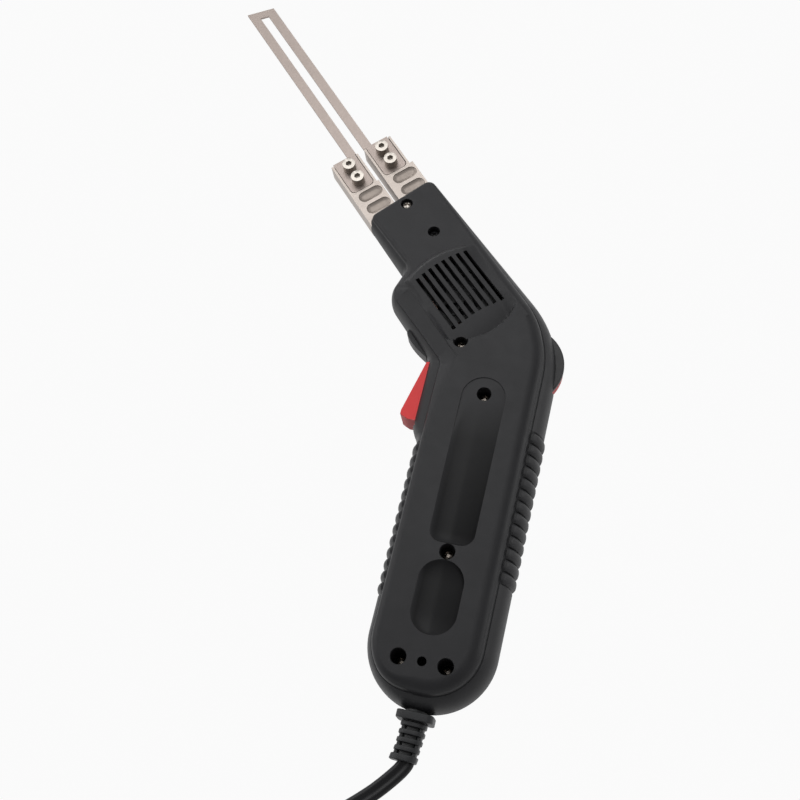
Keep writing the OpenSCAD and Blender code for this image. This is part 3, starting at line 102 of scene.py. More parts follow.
class Mat:
    """A Principled material with small helpers to drive its sockets from object coordinates."""

    def __init__(self, name, rough=0.5, metallic=0.0, spec=0.5):
        self.mat = bpy.data.materials.new(name)
        self.mat.use_nodes = True
        self.tree = self.mat.node_tree
        self.bsdf = self.tree.nodes["Principled BSDF"]
        self.bsdf.inputs["Roughness"].default_value = rough
        self.bsdf.inputs["Metallic"].default_value = metallic
        self.bsdf.inputs["Specular IOR Level"].default_value = spec
        self.coord = self.tree.nodes.new("ShaderNodeTexCoord")
        self.normal = None

    def link(self, a, b):
        self.tree.links.new(a, b)

    def mapped(self, scale=(1, 1, 1), angle=0.0):
        node = self.tree.nodes.new("ShaderNodeMapping")
        node.inputs["Scale"].default_value = scale
        node.inputs["Rotation"].default_value = (0, 0, angle)
        self.link(self.coord.outputs["Object"], node.inputs["Vector"])
        return node.outputs["Vector"]

    def noise(self, scale, detail=4, vector=None, rough=0.5):
        node = self.tree.nodes.new("ShaderNodeTexNoise")
        node.inputs["Scale"].default_value = scale
        node.inputs["Detail"].default_value = detail
        node.inputs["Roughness"].default_value = rough
        self.link(vector or self.coord.outputs["Object"], node.inputs["Vector"])
        return node.outputs["Fac"]

    def voronoi(self, scale):
        node = self.tree.nodes.new("ShaderNodeTexVoronoi")
        node.inputs["Scale"].default_value = scale
        self.link(self.coord.outputs["Object"], node.inputs["Vector"])
        return node.outputs["Distance"]

    def wave(self, scale, vector, distortion=0.0):
        node = self.tree.nodes.new("ShaderNodeTexWave")
        node.inputs["Scale"].default_value = scale
        node.inputs["Distortion"].default_value = distortion
        self.link(vector, node.inputs["Vector"])
        return node.outputs["Fac"]

    def ramp(self, fac, stops):
        node = self.tree.nodes.new("ShaderNodeValToRGB")
        ramp = node.color_ramp
        while len(ramp.elements) < len(stops):
            ramp.elements.new(0.5)
        for element, (at, color) in zip(ramp.elements, stops):
            element.position = at
            element.color = color
        self.link(fac, node.inputs["Fac"])
        return node.outputs["Color"]

    def mix(self, fac, a, b):
        node = self.tree.nodes.new("ShaderNodeMix")
        node.data_type = "RGBA"
        for value, key in ((fac, MIX_FACTOR), (a, MIX_A), (b, MIX_B)):
            if hasattr(value, "links"):
                self.link(value, node.inputs[key])
            else:
                node.inputs[key].default_value = value
        return node.outputs[MIX_COLOR]

    def span(self, fac, low, high, start=0.0, stop=1.0):
        node = self.tree.nodes.new("ShaderNodeMapRange")
        node.inputs["From Min"].default_value = start
        node.inputs["From Max"].default_value = stop
        node.inputs["To Min"].default_value = low
        node.inputs["To Max"].default_value = high
        self.link(fac, node.inputs["Value"])
        return node.outputs["Result"]

    def times(self, a, b):
        node = self.tree.nodes.new("ShaderNodeMath")
        node.operation = "MULTIPLY"
        self.link(a, node.inputs[0])
        self.link(b, node.inputs[1])
        return node.outputs[0]

    def color(self, value):
        self.link(value, self.bsdf.inputs["Base Color"])

    def rough(self, fac, low, high):
        self.link(self.span(fac, low, high), self.bsdf.inputs["Roughness"])

    def bump(self, height, strength, distance):
        node = self.tree.nodes.new("ShaderNodeBump")
        node.inputs["Strength"].default_value = strength
        node.inputs["Distance"].default_value = distance
        self.link(height, node.inputs["Height"])
        if self.normal is not None:
            self.link(self.normal, node.inputs["Normal"])
        self.normal = node.outputs["Normal"]
        self.link(self.normal, self.bsdf.inputs["Normal"])


GRAIN, GRAIN_DEPTH, BRUSH_DEPTH, PIT_DEPTH = 2600, 0.00012, 0.00008, 0.00006


def plastic(name, color, rough, grain=GRAIN, grain_strength=0.2, spread=0.16, spec=0.4):
    """Moulded plastic: a cloudy tone with specks, and a fine grain."""
    m = Mat(name, spec=spec)
    cloud = m.noise(55, 5)
    fine = m.noise(grain, 3, rough=0.6)
    tone = m.ramp(cloud, [(0.3, shade(color, 1 - spread)), (0.7, shade(color, 1 + spread))])
    specks = m.ramp(m.voronoi(grain * 0.45), [(0.0, shade(color, 1.35)), (0.25, color)])
    m.color(m.mix(0.35, tone, specks))
    m.rough(m.noise(170, 5), rough - 0.07, rough + 0.08)
    m.bump(fine, grain_strength, GRAIN_DEPTH)
    return m


def metal(name, color, rough, brush=None, angle=0.0, spread=0.12, scratch=0.12):
    """Metal with a cloudy tone, and with brushed lines where a brush gives their scale."""
    m = Mat(name, metallic=1.0)
    cloud = m.noise(90, 6)
    tone = m.ramp(cloud, [(0.28, shade(color, 1 - spread)), (0.72, shade(color, 1 + spread))])
    if brush:
        lines = m.noise(1.0, 3, m.mapped(brush, angle), 0.65)
        m.color(m.mix(m.span(lines, 0.1, 0.5), tone, shade(color, 0.78)))
        m.rough(lines, rough - 0.08, rough + 0.12)
        m.bump(lines, scratch, BRUSH_DEPTH)
    else:
        m.color(tone)
        m.rough(m.noise(500, 4), rough - 0.06, rough + 0.1)
        m.bump(m.noise(2200, 3), scratch, PIT_DEPTH)
    return m


HEAD_ANGLE = math.radians(43.7)
# The second colour is the painted shade of the scoops' floors, not a plastic of their own
SHELL_GREY, SCOOP_SHADE_COLOR = srgb(36, 36, 38), srgb(10, 10, 12)
# Where the scoops' painted shade begins, in metres: across from the left rim, and down from the upper end
FADE_X, FADE_Y = (-0.0114, -0.0086), (0.052, 0.030)


def scoop_shade_skin(name):
    """The scoops' plastic with painted shade: the shell's grey near the left rim and the upper end, and a painted
    dark tone away from them.
    """
    m = Mat(name, rough=0.43, spec=0.23)
    axes = m.tree.nodes.new("ShaderNodeSeparateXYZ")
    m.link(m.coord.outputs["Object"], axes.inputs[0])
    from_left = m.span(axes.outputs["X"], 0, 1, *FADE_X)
    from_top = m.span(axes.outputs["Y"], 0, 1, *FADE_Y)
    shade_share = m.times(from_left, from_top)
    cloud = m.ramp(m.noise(60, 5), [(0.3, shade(SCOOP_SHADE_COLOR, 0.8)), (0.7, shade(SCOOP_SHADE_COLOR, 1.2))])
    m.color(m.mix(shade_share, SHELL_GREY, cloud))
    m.bump(m.noise(GRAIN, 3, rough=0.6), 0.2, GRAIN_DEPTH)
    return m


def laminated(name):
    """Stacked iron sheets, seen as fine bands."""
    m = Mat(name, rough=0.5, metallic=0.9)
    sheets = m.wave(420, m.mapped((0, 0, 1)), 0.4)
    m.color(m.ramp(sheets, [(0.2, srgb(70, 68, 68)), (0.8, srgb(132, 128, 126))]))
    m.bump(sheets, 0.3, 0.0002)
    return m


charcoal = plastic("shell_plastic", SHELL_GREY, 0.44, grain_strength=0.28, spec=0.23)
# The scoops' floors get painted shade, darker than the shell where their walls and tilt shade them
scoop_plastic_painted_shade = scoop_shade_skin("scoop_plastic_painted_shade")
black_plastic = plastic("black_plastic", srgb(30, 30, 32), 0.45)
red_plastic = plastic("red_plastic", srgb(219, 60, 61), 0.44, grain_strength=0.14, spread=0.05, spec=0.22)
cord_skin = plastic("cord_skin", srgb(20, 20, 22), 0.4, grain=1900, grain_strength=0.16, spec=0.26)
rubber = plastic("boot_rubber", srgb(30, 31, 33), 0.48, grain=1900, grain_strength=0.24)
lead_rubber = plastic("lead_rubber", srgb(170, 52, 48), 0.48, grain=2200)
steel = metal("bright_steel", srgb(176, 170, 163), 0.3)
# Darker steel for the housing screws down the deep wells, as painted shade of the wells
well_shade_steel = metal("well_shade_steel", srgb(112, 106, 100), 0.24)
blade_steel = metal("blade_steel", srgb(158, 147, 141), 0.42, brush=(5200, 260, 4000), angle=-HEAD_ANGLE,
                    spread=0.05, scratch=0.05)
plated = metal("plated_brass", srgb(180, 171, 164), 0.44, brush=(420, 5200, 3000), angle=-HEAD_ANGLE,
               spread=0.06, scratch=0.06)
cast_metal = metal("cast_floor", srgb(148, 139, 132), 0.5, spread=0.1, scratch=0.2)
copper = metal("copper_bar", srgb(196, 128, 92), 0.36)
phenolic = plastic("phenolic_sheet", srgb(120, 84, 52), 0.5, grain=1200, spread=0.25)
board = plastic("board_green", srgb(28, 92, 58), 0.4, grain=1500)
core_iron = laminated("core_laminations")

BY_SLOT = {
    "shell": charcoal, "black_plastic": black_plastic, "red_plastic": red_plastic, "steel": steel,
    "blade_steel": blade_steel, "plated_brass": plated, "copper": copper, "phenolic": phenolic,
    "board": board, "core_iron": core_iron, "rubber": rubber, "lead_rubber": lead_rubber}


def paint(obj, m):
    obj.data.materials.clear()
    obj.data.materials.append(m.mat)


# Mesh helpers: points are in millimetres
def make(name, points, faces, smooth=True):
    mesh = bpy.data.meshes.new(name)
    mesh.from_pydata([Vector(p) * MM for p in points], [], faces)
    bm = bmesh.new()
    bm.from_mesh(mesh)
    bmesh.ops.recalc_face_normals(bm, faces=bm.faces)
    bm.to_mesh(mesh)
    bm.free()
    if smooth:
        mesh.shade_smooth()
    obj = bpy.data.objects.new(name, mesh)
    scene.collection.objects.link(obj)
    return obj


def tube_faces(count, n):
    """Quads between rings of n points."""
    faces = []
    for k in range(count - 1):
        for i in range(n):
            a, b = k * n + i, k * n + (i + 1) % n
            faces.append((a, b, b + n, a + n))
    return faces


def lofted(name, rings, closed_ends=True):
    """A tube through rings of equal length."""
    n = len(rings[0])
    points = [p for ring in rings for p in ring]
    faces = tube_faces(len(rings), n)
    if closed_ends:
        faces.append(tuple(range(n)))
        faces.append(tuple((len(rings) - 1) * n + i for i in range(n)))
    return make(name, points, faces)


def boolean(obj, others, operation):
    """Joins or cuts the other solids one at a time, and removes them."""
    for other in others:
        mod = obj.modifiers.new("cut", "BOOLEAN")
        mod.object = other
        mod.operation = operation
        mod.solver = "MANIFOLD"
        deps = bpy.context.evaluated_depsgraph_get()
        mesh = bpy.data.meshes.new_from_object(obj.evaluated_get(deps))
        obj.modifiers.clear()
        obj.data = mesh
        bpy.data.objects.remove(other)


def sharpen(obj, angle=32):
    """Smooth shading that breaks at edges sharper than the angle."""
    obj.data.shade_smooth()
    obj.data.set_sharp_from_angle(angle=math.radians(angle))
    mod = obj.modifiers.new("normals", "WEIGHTED_NORMAL")
    mod.mode = "FACE_AREA"
    mod.weight = 60
    mod.keep_sharp = True


def circle(cx, cy, r, n=48):
    turns = [math.tau * k / n for k in range(n)]
    return [(cx + r * math.cos(t), cy + r * math.sin(t)) for t in turns]


def lathe(name, place, profile, n=48):
    """A solid of revolution about Z at a place; profile is [radius, height] from bottom to top."""
    return lofted(name, [[(x, y, z) for x, y in circle(place[0], place[1], r, n)] for r, z in profile])


def block(name, low, high, turn=None):
    """A box between two corners, each point turned where a turn is given."""
    points = [(x, y, z) for z in (low[2], high[2]) for x, y in (
        (low[0], low[1]), (high[0], low[1]), (high[0], high[1]), (low[0], high[1]))]
    if turn:
        points = [turn(p) for p in points]
    sides = [(0, 1, 5, 4), (1, 2, 6, 5), (2, 3, 7, 6), (3, 0, 4, 7)]
    return make(name, points, [(0, 1, 2, 3), (4, 5, 6, 7)] + sides, False)


# The housing's outline, in the frame of the source
GRIP_R, MID, ROOF, WALL = 30.3, 18.0, 17.6, 2.4
BEND_Y, LOW = 85.0, 65.3
NOSE, NOSE_FRONT, NOSE_BACK, TAPER = 102.0, 18.9, 23.6, math.radians(2.6)
BULGE, SHOULDER, FALL, TRIGGER_WALL = 33.0, 63.5, 8.0, 33.6
NOSE_SKEW, NOSE_STEP, NOSE_T, NARROW = 4.0, 0.8, 17.6, 0.22
FRONT_X, END_R, BOTTOM, SEAT_Y = 29.2, 29.75, -94.6, -LOW - GRIP_R
RECESS_TOP, RECESS_LOW = 36, 29


def head(off, along):
    """A point of the outline from its place across and along the head."""
    c, s = math.cos(HEAD_ANGLE), math.sin(HEAD_ANGLE)
    return Vector((off * c - along * s, BEND_Y + off * s + along * c))


def head_solid(p):
    """The same for a point with a height over the parting plane."""
    q = head(p[0], p[1])
    return (q.x, q.y, p[2] + MID)


def at_x(p, q, x):
    """Where the line through two points meets an x."""
    return p + (q - p) * (x - p.x) / (q.x - p.x)


back_end = head(NOSE_BACK - NOSE_SKEW * math.tan(TAPER), NOSE + NOSE_SKEW)
back_root = head(NOSE_BACK + NOSE * math.tan(TAPER), 0)
# Corners and their radii, anticlockwise from the lower end of the grip's back
CORNERS = [
    (Vector((GRIP_R, BOTTOM)), END_R), (at_x(back_end, back_root, GRIP_R), 58), (back_end, 5.5),
    (head(-NOSE_FRONT, NOSE + NOSE_STEP), 5.5), (head(-NOSE_FRONT, SHOULDER), 3), (head(-BULGE, SHOULDER - FALL), 12),
    (at_x(head(-BULGE, 0), head(-BULGE, NOSE), -TRIGGER_WALL), 3), (Vector((-TRIGGER_WALL, RECESS_TOP)), 14),
    (Vector((-FRONT_X, RECESS_LOW)), 8), (Vector((-FRONT_X, BOTTOM)), END_R)]
# Corners that the shapes below refer to, and the steps on the straight before the elbow
BACK_SIDE, BACK_BEND, ELBOW, FRONT_SIDE = 0, 1, 6, 8
ELBOW_STEPS = 8


def ease(t):
    t = max(0.0, min(1.0, t))
    return t * t * (3 - 2 * t)


def slide(i, p):
    """How far a point of the panel line moves, so that the line runs straight past the trigger."""
    if i == ELBOW:
        step = TRIGGER_WALL - FRONT_X
        return Vector((step, -step / math.tan(HEAD_ANGLE)))
    if i in (ELBOW + 1, ELBOW + 2):
        return Vector((max(0.0, -FRONT_X - p.x), 0))
    return Vector((0, 0))


def corner_arc(i, step=4.0):
    """Points round a corner: place, outward normal, rib height and slide of the panel line."""
    n = len(CORNERS)
    a, (b, r), c = CORNERS[i - 1][0], CORNERS[i], CORNERS[(i + 1) % n][0]
    u, v = (a - b).normalized(), (c - b).normalized()
    half = math.acos(max(-1, min(1, u.dot(v)))) / 2
    bulges = 1 if (b - a).cross(c - b) > 0 else -1
    centre = b + (u + v).normalized() * (r / math.sin(half))
    out = (b + u * (r / math.tan(half)) - centre) * bulges
    first = math.atan2(out.y, out.x)
    sweep = math.pi - 2 * half
    count = 2 * max(3, math.ceil(math.degrees(sweep) / step / 2))
    result = []
    for k in range(count + 1):
        t = first + bulges * sweep * k / count
        normal = Vector((math.cos(t), math.sin(t)))
        place = centre + normal * (bulges * r)
        result.append((place, normal, 0.0, slide(i, place)))
    if i == ELBOW:
        start, before = result[0][0], corner_arc(i - 1)[-1][0]
        straight = [(before + (start - before) * k / ELBOW_STEPS, result[0][1], 0.0, Vector((0, 0)))
                    for k in range(1, ELBOW_STEPS)]
        result = straight + result
    return result


RIB_PITCH, RIB_COUNT = 5.72, 13
RIB_STATIONS = [0, 0.035, 0.08, 0.14, 0.24, 0.38, 0.5, 0.62, 0.76, 0.86, 0.92, 0.965]


def rib_row(side, base, low, proud, deep, power):
    """Points up one side of the grip, with finger ribs that stand proud of it and fall deep between."""
    row = [(low - 1.2, 0.0)]
    for k in range(RIB_COUNT):
        for s in RIB_STATIONS:
            row.append((low + (k + s) * RIB_PITCH, proud - deep * abs(2 * s - 1) ** power))
    end = low + RIB_COUNT * RIB_PITCH
    row += [(end, proud - deep), (end + 0.6, 0.0)]
    return [(Vector((side * base, y)), Vector((side, 0)), rise, Vector((0, 0))) for y, rise in row]


def outline(ribs):
    """All points round the housing, and the index of each corner's middle."""
    points, marks = [], {}
    for i in range(len(CORNERS)):
        bend = corner_arc(i)
        marks[i] = len(points) + (len(bend) + (ELBOW_STEPS - 1 if i == ELBOW else 0)) // 2
        points += bend
        if ribs and i == BACK_SIDE:
            points += rib_row(1, GRIP_R, low=-33, proud=1.0, deep=1.5, power=3.6)
        if ribs and i == FRONT_SIDE:
            points += rib_row(-1, FRONT_X, low=-48, proud=1.1, deep=1.9, power=2.2)[::-1]
    return points, marks


def inset(p, d):
    return p[0] - p[1] * d


PLAIN, PLAIN_MARKS = outline(False)
RIBBED, RIBBED_MARKS = outline(True)
MITRE_INSET = 9.6
mitre_front = inset(PLAIN[PLAIN_MARKS[ELBOW]], MITRE_INSET)
mitre_back = inset(PLAIN[PLAIN_MARKS[BACK_BEND]], MITRE_INSET)
mitre = (mitre_back - mitre_front).normalized()


def past_mitre(p):
    """How far a point lies past the bend, on the head's side."""
    return mitre.cross(p - mitre_front)


REACH = past_mitre(head((NOSE_BACK - NOSE_FRONT) / 2, NOSE))


def slope(p):
    """The housing's thickness at a point, as a share of the grip's."""
    return 1 - max(0, past_mitre(p)) / REACH * (1 - NOSE_T / 2 / ROOF)


def roof(p):
    return ROOF * slope(p)


def narrow(p):
    """The share of the shoulder's width that is left towards the nose."""
    return 1 - (1 - NARROW) * min(1, max(0, past_mitre(p)) / REACH)


BULGE_OFF, BULGE_LOW, BULGE_BLEND = 22, 8, 8


def bulge_share(p):
    """1 along the head's front bulge, where the crown is a straight slope."""
    x, y = p.x, p.y - BEND_Y
    c, s = math.cos(HEAD_ANGLE), math.sin(HEAD_ANGLE)
    return ease((-x * c - y * s - BULGE_OFF) / BULGE_BLEND) * ease((y * c - x * s - BULGE_LOW) / BULGE_BLEND)


# The panel line on the shoulder and the crown above it, as heights and as insets from the edge
LINE_H, LINE_IN = 12.4, 5.6
CROWN_H, CROWN_IN, CROWN_END, BULGE_RUN = 13.4, 6.3, 13.0, 6.0
# The groove along the panel line: inset, height and depth
GROOVE = ((5.72, 12.57, 0.3), (5.94, 12.89, 0.5), (6.08, 13.08, 0.22), (6.22, 13.29, 0))
# How much steeper the front's shoulder is, and how much wider the bulge's crown
FRONT_STEEP, BULGE_WIDE = 0.46, 2.0
SIDE_STEPS, CROWN_STEPS = 12, 10


def skin(name, points, marks, levels, wall=0.0):
    """A closed half shell over the outline; levels are [edge inset, height, ribs, groove, height on the bulge]."""
    rings = []
    for k, (d, z, ribs, groove, flat) in enumerate(levels):
        before, after = levels[max(0, k - 1)], levels[min(len(levels) - 1, k + 1)]
        way = Vector((after[0] - before[0], after[1] - before[1])).normalized()
        past_line = min(1, d / LINE_IN)
        ring = []
        for place, normal, rib, shift in points:
            rise = rib * ribs
            small = narrow(place)
            turned = normal
            if shift.length > 0 and shift.y == 0:
                turned = (normal * (1 - past_line) + Vector((-1, 0)) * past_line).normalized()
            front = 1 - FRONT_STEEP * ease((-normal.x - 0.1) / 0.7) * ease((small - 0.45) / 0.3)
            bulge = bulge_share(place)
            run = (d + BULGE_WIDE * bulge * max(0.0, d - CROWN_IN)) * small * front
            q = place - turned * (wall + run - rise * way.y) + shift * past_line ** 1.6
            level = z - groove * ease((small - 0.5) / 0.25) + (flat - z) * bulge
            ring.append((q.x, q.y, (level + rise * way.x) * slope(q)))
        rings.append(ring)
    n = len(points)
    faces = [tuple(range(n))] + tube_faces(len(rings), n)
    top = (len(rings) - 1) * n
    near = range(marks[ELBOW] - 14, marks[ELBOW] + 8)
    turn_back = marks[BACK_BEND]
    turn_front = min(near, key=lambda i: abs(past_mitre(Vector(rings[-1][i][:2]))))
    faces.append(tuple(top + i for i in range(turn_back, turn_front + 1)))
    faces.append(tuple(top + i % n for i in range(turn_front, turn_back + n + 1)))
    return make(name, [(x, y, z + MID) for ring in rings for x, y, z in ring], faces)


def shell_levels():
    """The parting edge, the side up to the panel line, the line's groove, and the crown."""
    levels = [(d, z, 1, 0, z) for d, z in ((0.4, 0.0), (0.12, 0.16), (0.0, 0.42))]
    for step in range(SIDE_STEPS + 1):
        t = step / SIDE_STEPS
        z = (1 - t) ** 2 + 2 * t * (1 - t) * 8.8 + t * t * LINE_H
        levels.append((2 * t * (1 - t) * 0.9 + t * t * LINE_IN, z, 1 if step < SIDE_STEPS else 0, 0, z))
    levels += [(d, z, 0, groove, z) for d, z, groove in GROOVE]
    for step in range(1, CROWN_STEPS + 1):
        t = math.radians(90) * step / CROWN_STEPS
        d = CROWN_END - (CROWN_END - CROWN_IN) * math.cos(t)
        z = CROWN_H + (ROOF - CROWN_H) * math.sin(t)
        levels.append((d, z, 0, 0, CROWN_H + (ROOF - CROWN_H) * min(1, (d - CROWN_IN) / BULGE_RUN)))
    return levels


LEVELS = shell_levels()
HOLLOW = [(d, z, 0, 0, z) for d, z in (
    (0, -1.0), (0, 3.8), (1.0, 6.6), (3.2, 9.3), (6.4, 12.0), (9.6, 13.8), (12.5, ROOF - WALL))]


# The dome of the vents: a tilted plate that blends into the panel round it
VENT_OFF, VENT_ALONG, VENT_TURN = -1.7, 36.2, math.radians(2.5)
DOME_LOW, DOME_HIGH, DOME_STEPS = -33.5, 23.6, 72
DOME_TILT, DOME_LEVEL = 0.125, 2.0
# The dome's edge at the nose is an arch about a point below the vents, and its edge at the bend is round
ARCH_DROP, ARCH_R, ARCH_EDGE, ARCH_REACH = 17.0, 36.8, 3.6, 40.9
ROUND_R, ROUND_EDGE = 29.6, 1.3
LEDGE = VENT_ALONG + 5


def panel(u, v):
    return roof(head(u, v))


def dome(u, v, most=1.0):
    """Height of the dome's surface over the parting plane.

    It is a plate that tilts out of the panel at the nose and sinks below it at the bend. Past the arch it lies on the
    panel, or under it where most is over 1.
    """
    x, y = u - VENT_OFF, v - VENT_ALONG
    r = math.hypot(x, y)
    arch = max(0.0, (math.hypot(x, y + ARCH_DROP) - ARCH_R) / ARCH_EDGE)
    over = max(ease((-x - 18.6) / 2.2), ease((x - 12.5) / 8), min(most, arch ** 1.6))
    rise = DOME_TILT * (y + DOME_LEVEL)
    if y < -6:
        over = max(over, ease((r - ROUND_R) / ROUND_EDGE))
        rise -= 0.0045 * max(0.0, r - 15) ** 2 * ease((x + 14) / 12)
    return panel(u, v) + rise * (1 - over)


def field(name, side, low, high, limits):
    """A solid between two surfaces over the head; limits gives the ends of each row along the nose."""
    rows = []
    for j in range(DOME_STEPS + 1):
        v = VENT_ALONG + DOME_LOW + (DOME_HIGH - DOME_LOW) * j / DOME_STEPS
        first, last = limits(v - VENT_ALONG)
        rows.append([(VENT_OFF + first + (last - first) * i / DOME_STEPS, v) for i in range(DOME_STEPS + 1)])
    lows = [(u, v, side * low(u, v)) for row in rows for u, v in row]
    highs = [(u, v, side * high(u, v)) for row in rows for u, v in row]
    n = DOME_STEPS + 1
    faces = []
    for base in (0, n * n):
        for j in range(n - 1):
            for i in range(n - 1):
                a = base + j * n + i
                faces.append((a, a + 1, a + n + 1, a + n))
    rim = list(range(n)) + [j * n + n - 1 for j in range(1, n)]
    rim += [(n - 1) * n + i for i in range(n - 2, -1, -1)] + [j * n for j in range(n - 2, 0, -1)]
    for a, b in zip(rim, rim[1:] + rim[:1]):
        faces.append((a, b, b + n * n, a + n * n))
    return make(name, [head_solid(p) for p in lows + highs], faces)


def dome_limits(y):
    reach = math.sqrt(max(1.0, ARCH_REACH ** 2 - (y + ARCH_DROP) ** 2))
    return max(-20.8, -reach), min(20.4, reach)


def wide_limits(_):
    return -25.0, 26.0


def fill_top(u, v):
    """The dome's surface, kept clear of the panel so that the two cross in a clean line."""
    h, p = dome(u, v, 1.25 if v > LEDGE else 1.0), panel(u, v)
    if v <= LEDGE:
        h = max(h, min(h + 0.3, p))
    return h - 0.04 * (abs(h - p) < 0.04)


def cut_low(u, v):
    """The dome's surface where it lies below the panel, and just over the panel elsewhere."""
    h, p = dome(u, v), panel(u, v)
    return h + max(0.0, 0.1 - (p - h))


# Thumb scoops: the floor falls gently from the left, then faster to a steep wall on the right
SCOOP_OFF, SCOOP_R = -0.7, 10.6
# Lower end, upper end, depth at each and length of the lower end's curve
LONG_SCOOP = (-21.3, 62.5, 5.0, 0.5, 6.0)
SHORT_SCOOP = (-63.2, -28.8, 4.2, 3.6, 10.4)
END_STEPS, MIDDLE_STEPS = 14, 30
SCOOP_X = [-1, -0.985, -0.95, -0.9, -0.83, -0.74, -0.64, -0.53, -0.42, -0.31, -0.2, -0.1, 0.0, 0.1,
           0.2, 0.32, 0.44, 0.55, 0.65, 0.74, 0.82, 0.88, 0.93, 0.965, 0.985, 1]


def scoop_floor(x):
    left = 0.5 * (1 - math.exp(-3.2 * (x + 1))) + 0.12 * (x + 1)
    return (left + 0.5 * max(0.0, x + 0.05) ** 1.15) / 1.25


def scoop(name, low, high, deep, shallow, end, grow, top, step_top=0.0):
    """A solid from a scoop's floor up to a flat top; step_top is the least depth near the upper end."""
    r = SCOOP_R + grow
    ends = (end + grow, r)
    low, high = low - grow, high + grow
    arcs = [math.pi / 2 * k / END_STEPS for k in range(END_STEPS + 1)]
    ys = [low + ends[0] * (1 - math.cos(a)) for a in arcs]
    ys += [low + ends[0] + (high - low - ends[0] - ends[1]) * k / MIDDLE_STEPS for k in range(1, MIDDLE_STEPS)]
    ys += [high - ends[1] * (1 - math.sin(a)) for a in arcs]
    rings = []
    for y in ys:
        below, above = max(0.0, low + ends[0] - y) / ends[0], max(0.0, y - high + ends[1]) / ends[1]
        if below:
            w = r - ends[0] * (1 - math.sqrt(max(0.0, 1 - below * below)))
        else:
            w = r * math.sqrt(max(0.001, 1 - above * above))
        share = (y - low) / (high - low)
        depth = (deep + (shallow - deep) * share + grow) * math.sqrt(max(0.02, 1 - max(below, above) ** 2.2))
        ring = []
        for x in SCOOP_X:
            d = depth * scoop_floor(x)
            if step_top and abs(x) < 0.99:
                d = max(d, step_top * ease((y - 24) / 22))
            if abs(x) == 1:
                d = -0.15
            ring.append((SCOOP_OFF + x * w, y, min(ROOF - d, top - 0.05) + MID))
        ring += [(ring[-1][0], y, top + MID), (ring[0][0], y, top + MID)]
        rings.append(ring)
    return lofted(name, rings)


# Screw wells: place and depth; the first four are in the flat roof and the last two in the nose
WELLS = [(-11.4, -75, 12.5), (9.8, -75, 12.5), (-0.8, -25, 6), (-0.8, 54, 6)]
WELLS += [(*head(-16.6, 8.6), 6), (*head(3.2, NOSE - 5.0), 1.3), (*head(5.8, NOSE - 29), 3.0)]
FLAT_WELLS, FIRST_IN_NOSE = 4, 5
WELL_R, NOSE_WELL_R, BOSS_R, NOSE_BOSS_R = 3.5, 3.2, 4.5, 4.0
BORE_R, SCREW_HEAD_H = 1.5, 2


def well_cutters(side):
    """Stepped wells with rolled lips in the left half, and plain bores in the right half."""
    cutters = []
    for k, (x, y, deep) in enumerate(WELLS):
        h = roof(Vector((x, y)))
        seat = h - deep - SCREW_HEAD_H
        lip = h if k < FLAT_WELLS else h - 0.1
        if side < 0:
            profile = [(BORE_R, -7), (BORE_R, 1)]
        elif k >= FIRST_IN_NOSE:
            profile = [(BORE_R, -1), (BORE_R, seat), (NOSE_WELL_R, seat), (NOSE_WELL_R, lip + 6)]
        else:
            profile = [(BORE_R, -1), (BORE_R, seat), (WELL_R - 0.15, seat), (WELL_R, lip - 0.5),
                       (WELL_R + 0.12, lip - 0.16), (WELL_R + 0.42, lip + 0.12), (WELL_R + 0.6, lip + 6)]
        cutters.append(lathe("well", (x, y), [(a, b + MID) for a, b in profile]))
    return cutters


def boss_solids(side):
    solids = []
    for k, (x, y, _) in enumerate(WELLS):
        r = NOSE_BOSS_R if k >= FIRST_IN_NOSE else BOSS_R
        high = roof(Vector((x, y))) - 1.2
        profile = [(r, MID + side * 0.2), (r + 0.4, MID + side * high)]
        solids.append(lathe("boss", (x, y), profile, 32))
    return solids


SLOT_COUNT, SLOT_PITCH, SLOT_ARC, SLOT_HALF_W, SLOT_HALF_L = 8, 4.1, 62, 1.0, 17


def slot_cutters(side):
    """The vent slots, whose ends lie on a wide arc."""
    c, s = math.cos(VENT_TURN), math.sin(VENT_TURN)

    def vent_solid(p):
        return head_solid((VENT_OFF + p[0] * c - p[1] * s, VENT_ALONG + p[0] * s + p[1] * c, p[2]))

    cutters = []
    for k in range(SLOT_COUNT):
        x = (k - (SLOT_COUNT - 1) / 2) * SLOT_PITCH
        y = math.sqrt(SLOT_ARC * SLOT_ARC - x * x) - SLOT_ARC
        low, high = (x - SLOT_HALF_W, y - SLOT_HALF_L, side * 6), (x + SLOT_HALF_W, y + SLOT_HALF_L, side * 24)
        cutters.append(block("slot", low, high, vent_solid))
    return cutters


LOCK_AT, LOCK_HALF, LOCK_SLOT_HALF = 25.0, 8.7, 9.1
DIAL_AT, DIAL_SLOT_R, DIAL_SLOT_HALF = (12, 79), 21.8, 4.4


